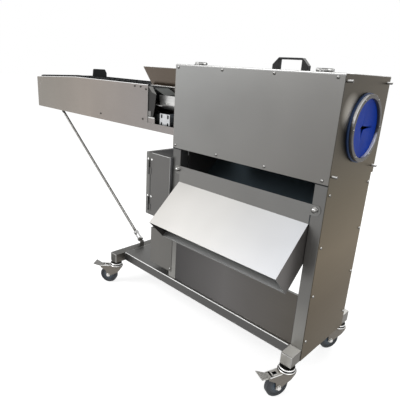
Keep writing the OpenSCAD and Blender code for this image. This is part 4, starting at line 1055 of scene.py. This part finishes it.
for number, fork, wheel in zip(CORNERS, FORKS, WHEELS):
    roll = joint_named(f"caster_{number}_roll")
    paint_where(wheel, HUB, lambda centre, normal: off_axis(centre, roll) < WHEEL_HUB)
    axle, sideways = Vector(roll["pos_m"]), Vector(roll["axis"])
    pivot = Vector(joint_named(f"caster_{number}_swivel")["pos_m"])
    base = Vector((pivot.x, pivot.y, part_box(fork)[1].z))
    bm = bmesh.new()
    for way in (-sideways, sideways):
        lathe(bm, AXLE_NUT, upright(axle + way * LEG_FACE, way), hexed=(2, 3))
    piece(f"caster_nuts_{number}", bm, BRIGHT, fork)
    # The swivel rings and the rods along the fork edges are painted as highlights.
    bm = bmesh.new()
    lathe_ring(bm, base + Z * 1.4 * MM, Z, 26, 35.2, 4.4)
    lathe_ring(bm, base + Z * 12.4 * MM, Z, 22, 32.2, 4.6)
    piece(f"caster_rings_{number}", bm, EDGE_HIGHLIGHT)
    bm = bmesh.new()
    lathe_ring(bm, base + Z * 0.9 * MM, -Z, 20, 37.6, 6.2)
    piece(f"caster_crown_{number}", bm, CASTER, fork)
    behind = Vector((pivot.x - axle.x, pivot.y - axle.y, 0)).normalized()
    braked = number < 3
    bm = bmesh.new()
    for way in (-sideways, sideways):
        ends = [base + (behind * y + Z * z) * MM + way * (LEG_FACE - MM)
                for y, z in (LONG_EDGE if braked else SHORT_EDGE)]
        strand(bm, ends, [Z, Z], 1.7, 8)
    if braked:
        near = sideways if sideways.x > sideways.y else -sideways
        corners = [base + (near * x + behind * y + Z * z) * MM for x, y, z in DECK_CORNER]
        for ends in (corners[:2], corners[1:]):
            strand(bm, ends, [Z, Z], 1.5, 8)
    piece(f"fork_edge_highlights_{number}", bm, EDGE_HIGHLIGHT, fork)

PEDAL_SLOPE = math.atan2(12.0, 47)
PEDAL_RIB = [(-3.2, 0), (-1.5, -0.9), (1.5, -0.9), (3.2, 0), (1.5, 0.9), (-1.5, 0.9)]
RIB_ROWS = 5
for number in (1, 2):
    press = joint_named(f"brake_{number}_press")
    sideways = Vector(press["axis"])
    down = around(PEDAL_SLOPE, sideways.cross(Z), Z)
    face = sideways.cross(down)
    if face.z < 0:
        face = -face
    start = Vector(press["pos_m"]) + Z * 5 * MM
    bm = bmesh.new()
    for row in range(RIB_ROWS):
        for column in range(-2, 3):
            lean = math.radians(45 if (row + column) % 2 else -45)
            long = around(lean, down, sideways)
            spot = start + (down * (13 + 7.4 * row) + sideways * column * (6 + row) - face * 0.3) * MM
            slab(bm, PEDAL_RIB, framed(spot, long, face.cross(long), face), 1.3)
    piece(f"pedal_ribs_{number}", bm, HEM, f"brake_pedal_{number}", smooth=False)


# Stay: twisted strands round the rod, and weld beads on the frame

STAY_START, STAY_END = at(-1175, 135, 203), at(-2063, 135, 878)
STAY_FROM = 92 * MM
STAY_LAST = 14 * MM
STAY_STEP = 4.5 * MM
TURNBUCKLE = (26 * MM, 84 * MM)
STRANDS = 8
LAY = 80 * MM
stay = STAY_END - STAY_START
heading = stay.normalized()
paint_where("stay_rod", HEM,
            lambda centre, normal: TURNBUCKLE[0] < (centre - STAY_START).dot(heading) < TURNBUCKLE[1])
bm = bmesh.new()
steps = round((stay.length - STAY_FROM - STAY_LAST) / STAY_STEP)
for phase in spaced(STRANDS):
    spots, outs = [], []
    for step in range(steps + 1):
        walk = STAY_FROM + STAY_STEP * step
        turn = TURN * walk / LAY + phase
        out = around(turn, Y, heading.cross(Y))
        spots.append(STAY_START + heading * walk + out * 6.2 * MM)
        outs.append(out)
    strand(bm, spots, outs, 2.5)
piece("stay_strands", bm, ROPE)


def weld_bead(bm, start, end, radius):
    """A row of overlapping drops along a seam."""
    count = max(2, round((end - start).length / (radius * 1.2)))
    for step in range(count + 1):
        bmesh.ops.create_icosphere(bm, subdivisions=1, radius=radius * (1 + 0.12 * math.sin(step * 2.3)),
                                   matrix=Matrix.Translation(start.lerp(end, step / count)))


def weld_round(bm, corners, shift, pull, inset, radius):
    """Weld beads along the sides of a rectangle, shifted, and pulled towards its middle."""
    middle = (corners[0] + corners[2]) / 2
    for a, b in zip(corners, corners[1:] + corners[:1]):
        trim = (b - a).normalized() * inset * MM
        move = shift + (middle - (a + b) / 2).normalized() * pull * MM
        weld_bead(bm, a + trim + move, b - trim + move, radius * MM)


bm = bmesh.new()
for low, high in islands("posts"):
    foot = [Vector((x, y, low.z)) for x, y in rectangle(low.x, low.y, high.x, high.y)]
    weld_round(bm, foot, Vector(), 0, 4, 1.6)
for low, high in islands("base_cross_tubes"):
    for y, inward in ((low.y, 2.2), (high.y, -2.2)):
        mouth = [Vector((x, y, z)) for x, z in rectangle(low.x, low.z, high.x, high.z)]
        weld_round(bm, mouth, Y * inward * MM, 1.3, 5, 1.5)
piece("weld_beads", bm, SOFT_HIGHLIGHT, weld=False)


# Hem of the top strip, thin rods along the bends of the sheets painted as highlights, seam, bolt caps, and
# dark strips painted as the cover's shadow

HEM_R = 4 * MM
HEM_DEEP = 2.2 * MM
HEM_STEPS = 8
low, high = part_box("top_strip")
bm = bmesh.new()
hem = []
for step in range(HEM_STEPS + 1):
    angle = math.radians(-90 + 180 * step / HEM_STEPS)
    hem.append((low.y + 0.5 * MM - HEM_DEEP * math.cos(angle), high.z - HEM_R + HEM_R * math.sin(angle)))
skin(bm, [[(x, y, z) for y, z in hem] for x in (low.x + 0.6 * MM, high.x - 0.6 * MM)])
# The hem's front is a painted highlight and its top a dimmer one.
strip_hem = piece("strip_hem", bm, HEM)
paint_where(strip_hem, SOFT_HIGHLIGHT, facing(Z, 0.8))

CONVEYOR_EDGE = [(-2355, 1091), (-1827, 1115), (-1104, 1115), (-1104, 924)]
BRIGHT_FROM = at(0, 0, 1085).z
# Thin rods along the conveyor panel's top edges, painted as a highlight, dimmer low down.
bm = bmesh.new()
ends = [at(x, 101, z) for x, z in CONVEYOR_EDGE]
for start, end in zip(ends, ends[1:]):
    strand(bm, [start, end], [Y, Y], 1.7, 8)
panel_highlights = piece("panel_edge_highlights", bm, EDGE_HIGHLIGHT)
paint_where(panel_highlights, SOFT_HIGHLIGHT, lambda centre, normal: centre.z < BRIGHT_FROM)

# A rod along the tray's front edge, painted as the highlight on its bend.
low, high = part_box("base_tray")
bm = bmesh.new()
ends = [Vector((x, low.y + 1.2 * MM, high.z - 1.2 * MM)) for x in (low.x + 6 * MM, high.x - 6 * MM)]
strand(bm, ends, [Y, Y], 2.2, 10)
piece("tray_edge_highlight", bm, EDGE_HIGHLIGHT)

low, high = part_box("control_box")
BOX_LEFT, BOX_RIGHT = at(-920, BOX_FACE + 1, 0), at(-787, BOX_FACE + 1, 0)
# Rods along the box's top front and right edges, painted as highlights on the bends.
bm = bmesh.new()
strand(bm, [spot + Z * (high.z - MM) for spot in (BOX_LEFT, BOX_RIGHT)], [Y, Y], 1.8, 10)
strand(bm, [BOX_RIGHT + Z * z for z in (high.z - 2 * MM, low.z + 6 * MM)], [Y, Y], 1.4, 10)
piece("box_bend_highlights", bm, HEM)

bm = bmesh.new()
slab(bm, rectangle(0, 0, 3, 104), front(at(-930.5, BOX_FACE - 0.4, 592)), 0.6)
piece("box_seam", bm, BELT)

BOLT_CAP = [(9.2, 0), (9, 2), (7.6, 4), (4.6, 5.4), (1, 6)]
bm = bmesh.new()
for low, high in islands("chute_bolts"):
    spot = Vector(((low.x + high.x) / 2, low.y + 0.3 * MM, (low.z + high.z) / 2))
    lathe(bm, BOLT_CAP, upright(spot, -Y))
# The caps take the painted highlight on their upward faces.
piece("bolt_caps", bm, POLISHED_HIGHLIGHT)

# Dark strips under the cover's bottom edge at the posts, painted as its shadow.
bm = bmesh.new()
for x in (-785, -52):
    slab(bm, rectangle(0, 0, 49, 4.3), front(at(x, -1.7, 851.5)), 1.6)
piece("cover_shadow_strips", bm, BELT)


# Parts in the conveyor's notch: terminal block with its cable, bracket, folded guard, and dark patches
# painted as the shade in the plate slots

NOTCH_X = -1104
NOTCH_Y = at(0, 124, 0).y
PLATE_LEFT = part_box("conveyor_motor")[0].x
BLOCKS = ((-44, 893, 36, 34, 30), (-40, 929, 28, 22, 26), (-52, 953, 40, 20, 22))
CABLE_STEPS = 16
bm = bmesh.new()
for x, z, wide, tall, deep in BLOCKS:
    spot = Vector((PLATE_LEFT + x * MM, NOTCH_Y, z * MM))
    slab(bm, rounded(rectangle(0, 0, wide, tall), 4), front(spot), deep)
cable = []
for step in range(CABLE_STEPS + 1):
    turn = math.pi * step / CABLE_STEPS
    cable.append(Vector((PLATE_LEFT + (-20 - 38 * math.sin(turn)) * MM, NOTCH_Y + 12 * MM,
                         (935 + 26 * (1 - math.cos(turn))) * MM)))
strand(bm, cable, [Y] * len(cable), 4, 10)
piece("motor_terminal", bm, BELT)

BRACKET = ((959, 24, 25), (948, 54, 7), (916, 57, 31.5))
FILLER_TOP = 947.7 * MM
BLOCK_FOOT = 957 * MM
bm = bmesh.new()
for z, wide, tall in BRACKET:
    slab(bm, rectangle(0, 0, wide, tall), front(at(NOTCH_X + 0.5, 102.4, z)), 1.4)
bracket = piece("notch_bracket", bm, TROUGH)
paint_where(bracket, CONVEYOR, lambda centre, normal: centre.z < FILLER_TOP)
paint_where(bracket, INNER, lambda centre, normal: centre.z > BLOCK_FOOT)
edge_round(bracket, 0.4)

GUARD_OUTLINE = [(-1106, 955), (-1064, 955), (-1050, 1010), (-1042, 1070), (-1072, 1108), (-1106, 1108)]
FOLD_OUTLINE = [(-1106, 1109), (-1072, 1109), (-1038, 1072), (-1072, 1080)]
bm = bmesh.new()
slab(bm, GUARD_OUTLINE, front(at(0, 104, 0)), 1.6)
edge_round(piece("notch_guard", bm, GUARD), 0.5)
bm = bmesh.new()
slab(bm, FOLD_OUTLINE, front(at(0, 102.6, 0)), 1.2)
edge_round(piece("guard_fold", bm, GUARD_FOLD), 0.4)

# Dark patches on the motor plate, painted as the shade in its slots.
SLOT = rounded(rectangle(-5.5, -10, 5.5, 10), 5)
plate_x, plate_z = axis_of("conveyor_motor_spin")
bm = bmesh.new()
for x in (-24, 24):
    for z in (-20, 20):
        spot = Vector((plate_x + x * MM, at(0, 116.4, 0).y, plate_z + z * MM))
        slab(bm, SLOT, front(spot), 0.7)
piece("plate_slot_shadows", bm, BELT)


# Feed rollers: fluted rubber over the steel shaft

ROLLER_HALF = 55 * MM
ROLLER_FLUTES = 28
# Place along the half length and radius in millimetres
ROLLER_LEVELS = ((-1, 43), (-0.97, 45), (-0.73, 45), (-0.4, 38.5), (-0.12, 34), (0.12, 34), (0.4, 38.5),
                 (0.73, 45), (0.97, 45), (1, 43))
PATH_Y = at(0, 190, 0).y
BARE_SHAFT = ROLLER_HALF - 0.2 * MM
for name, joint in GRIPS.items():
    paint_where(name, BRIGHT, lambda centre, normal: abs(centre.y - PATH_Y) > BARE_SHAFT)
    axis = axis_of(joint)
    bm = bmesh.new()
    rings = []
    for along, radius in ROLLER_LEVELS:
        ring = []
        for side, angle in enumerate(spaced(ROLLER_FLUTES * 4)):
            reach = (radius + (1.6 if side % 4 < 2 else 0.3)) * MM
            spot = axis + reach * flat(angle)
            ring.append((spot.x, PATH_Y + along * ROLLER_HALF, spot.y))
        rings.append(ring)
    skin(bm, rings)
    piece(name + "_grip", bm, ROLLER, name)


# Knife arm springs round the pivot pins

COILS = 9
COIL_STEPS = 16
COIL_R = 9 * MM
WIRE = 1.3 * MM
WIRE_TURNS = (0, 1.26, 2.51, 3.77, 5.03)
SPRING_Y = at(0, 120, 0).y
SPRING_LENGTH = 46 * MM
bm = bmesh.new()
for number in CORNERS:
    pivot = axis_of(f"knife_{number}_swing")
    rings = []
    for step in range(COILS * COIL_STEPS + 1):
        turn = TURN * step / COIL_STEPS
        out = around(turn, X, Z)
        y = SPRING_Y + SPRING_LENGTH * step / (COILS * COIL_STEPS)
        centre = Vector((pivot.x, y, pivot.y)) + out * COIL_R
        rings.append([centre + around(angle, out, Y) * WIRE for angle in WIRE_TURNS])
    skin(bm, rings, "open")
piece("knife_springs", bm, BLADE)


# Camera, floor and light

CAMERA_AT = Vector((1.7605, -1.39987, 1.20898))
CAMERA_RIGHT = Vector((0.71724, 0.69425, 0.05992))
CAMERA_UP = Vector((-0.25458, 0.18102, 0.94996))
CAMERA_FORWARD = Vector((-0.64867, 0.69659, -0.30658))

camera = bpy.data.objects.new("camera", bpy.data.cameras.new("camera"))
scene.collection.objects.link(camera)
camera.data.sensor_width = 36
camera.data.lens = 36.526
camera.matrix_world = framed(CAMERA_AT, CAMERA_RIGHT, CAMERA_UP, -CAMERA_FORWARD)
scene.camera = camera


def seen_by_eye(tree):
    """One where a ray comes from the camera, a reflection or glass, else zero."""
    path = tree.nodes.new("ShaderNodeLightPath")
    total = path.outputs["Is Camera Ray"]
    for name in ("Is Glossy Ray", "Is Transmission Ray"):
        sum_node = tree.nodes.new("ShaderNodeMath")
        sum_node.operation = "MAXIMUM"
        tree.links.new(total, sum_node.inputs[0])
        tree.links.new(path.outputs[name], sum_node.inputs[1])
        total = sum_node.outputs[0]
    return total


ROOM_LIGHT = 0.55
world = bpy.data.worlds.new("studio")
scene.world = world
world.use_nodes = True
sky = world.node_tree.nodes["Background"]
sky.inputs["Color"].default_value = (1, 1, 1, 1)
level = world.node_tree.nodes.new("ShaderNodeMapRange")
level.inputs["To Min"].default_value = ROOM_LIGHT
level.inputs["To Max"].default_value = 1.0
world.node_tree.links.new(seen_by_eye(world.node_tree), level.inputs["Value"])
world.node_tree.links.new(level.outputs["Result"], sky.inputs["Strength"])

FLOOR_HALF = 30
FLOOR_GLOW = 0.75
bm = bmesh.new()
bmesh.ops.create_grid(bm, x_segments=1, y_segments=1, size=FLOOR_HALF)
floor_mesh = bpy.data.meshes.new("floor")
bm.to_mesh(floor_mesh)
bm.free()
floor = bpy.data.objects.new("floor", floor_mesh)
scene.collection.objects.link(floor)
g = Graph("floor_white")
g.set(Base_Color=(0.5, 0.5, 0.5, 1), Roughness=0.9, Specular_IOR_Level=0.0, Emission_Color=(1, 1, 1, 1))
lift = g.add("ShaderNodeMath", operation="MULTIPLY")
lift.inputs[1].default_value = FLOOR_GLOW
g.link(seen_by_eye(g.tree), lift.inputs[0])
g.link(lift.outputs[0], g.shader.inputs["Emission Strength"])
floor_mesh.materials.append(g.material)

MIDDLE = Vector((0, 0, 0.7))


def lamp(name, spot, size, power):
    """A square area light turned towards the middle of the machine."""
    light = bpy.data.lights.new(name, "AREA")
    light.shape = "SQUARE"
    light.size = size
    light.energy = power
    made = bpy.data.objects.new(name, light)
    scene.collection.objects.link(made)
    made.location = spot
    made.rotation_euler = (MIDDLE - Vector(spot)).to_track_quat("-Z", "Y").to_euler()


lamp("key", (-1.8, -3.6, 3.4), 2.6, 130)
lamp("fill", (3.8, -1.2, 2.2), 2.4, 35)
lamp("rim", (0.5, 3.6, 3.0), 2.6, 60)
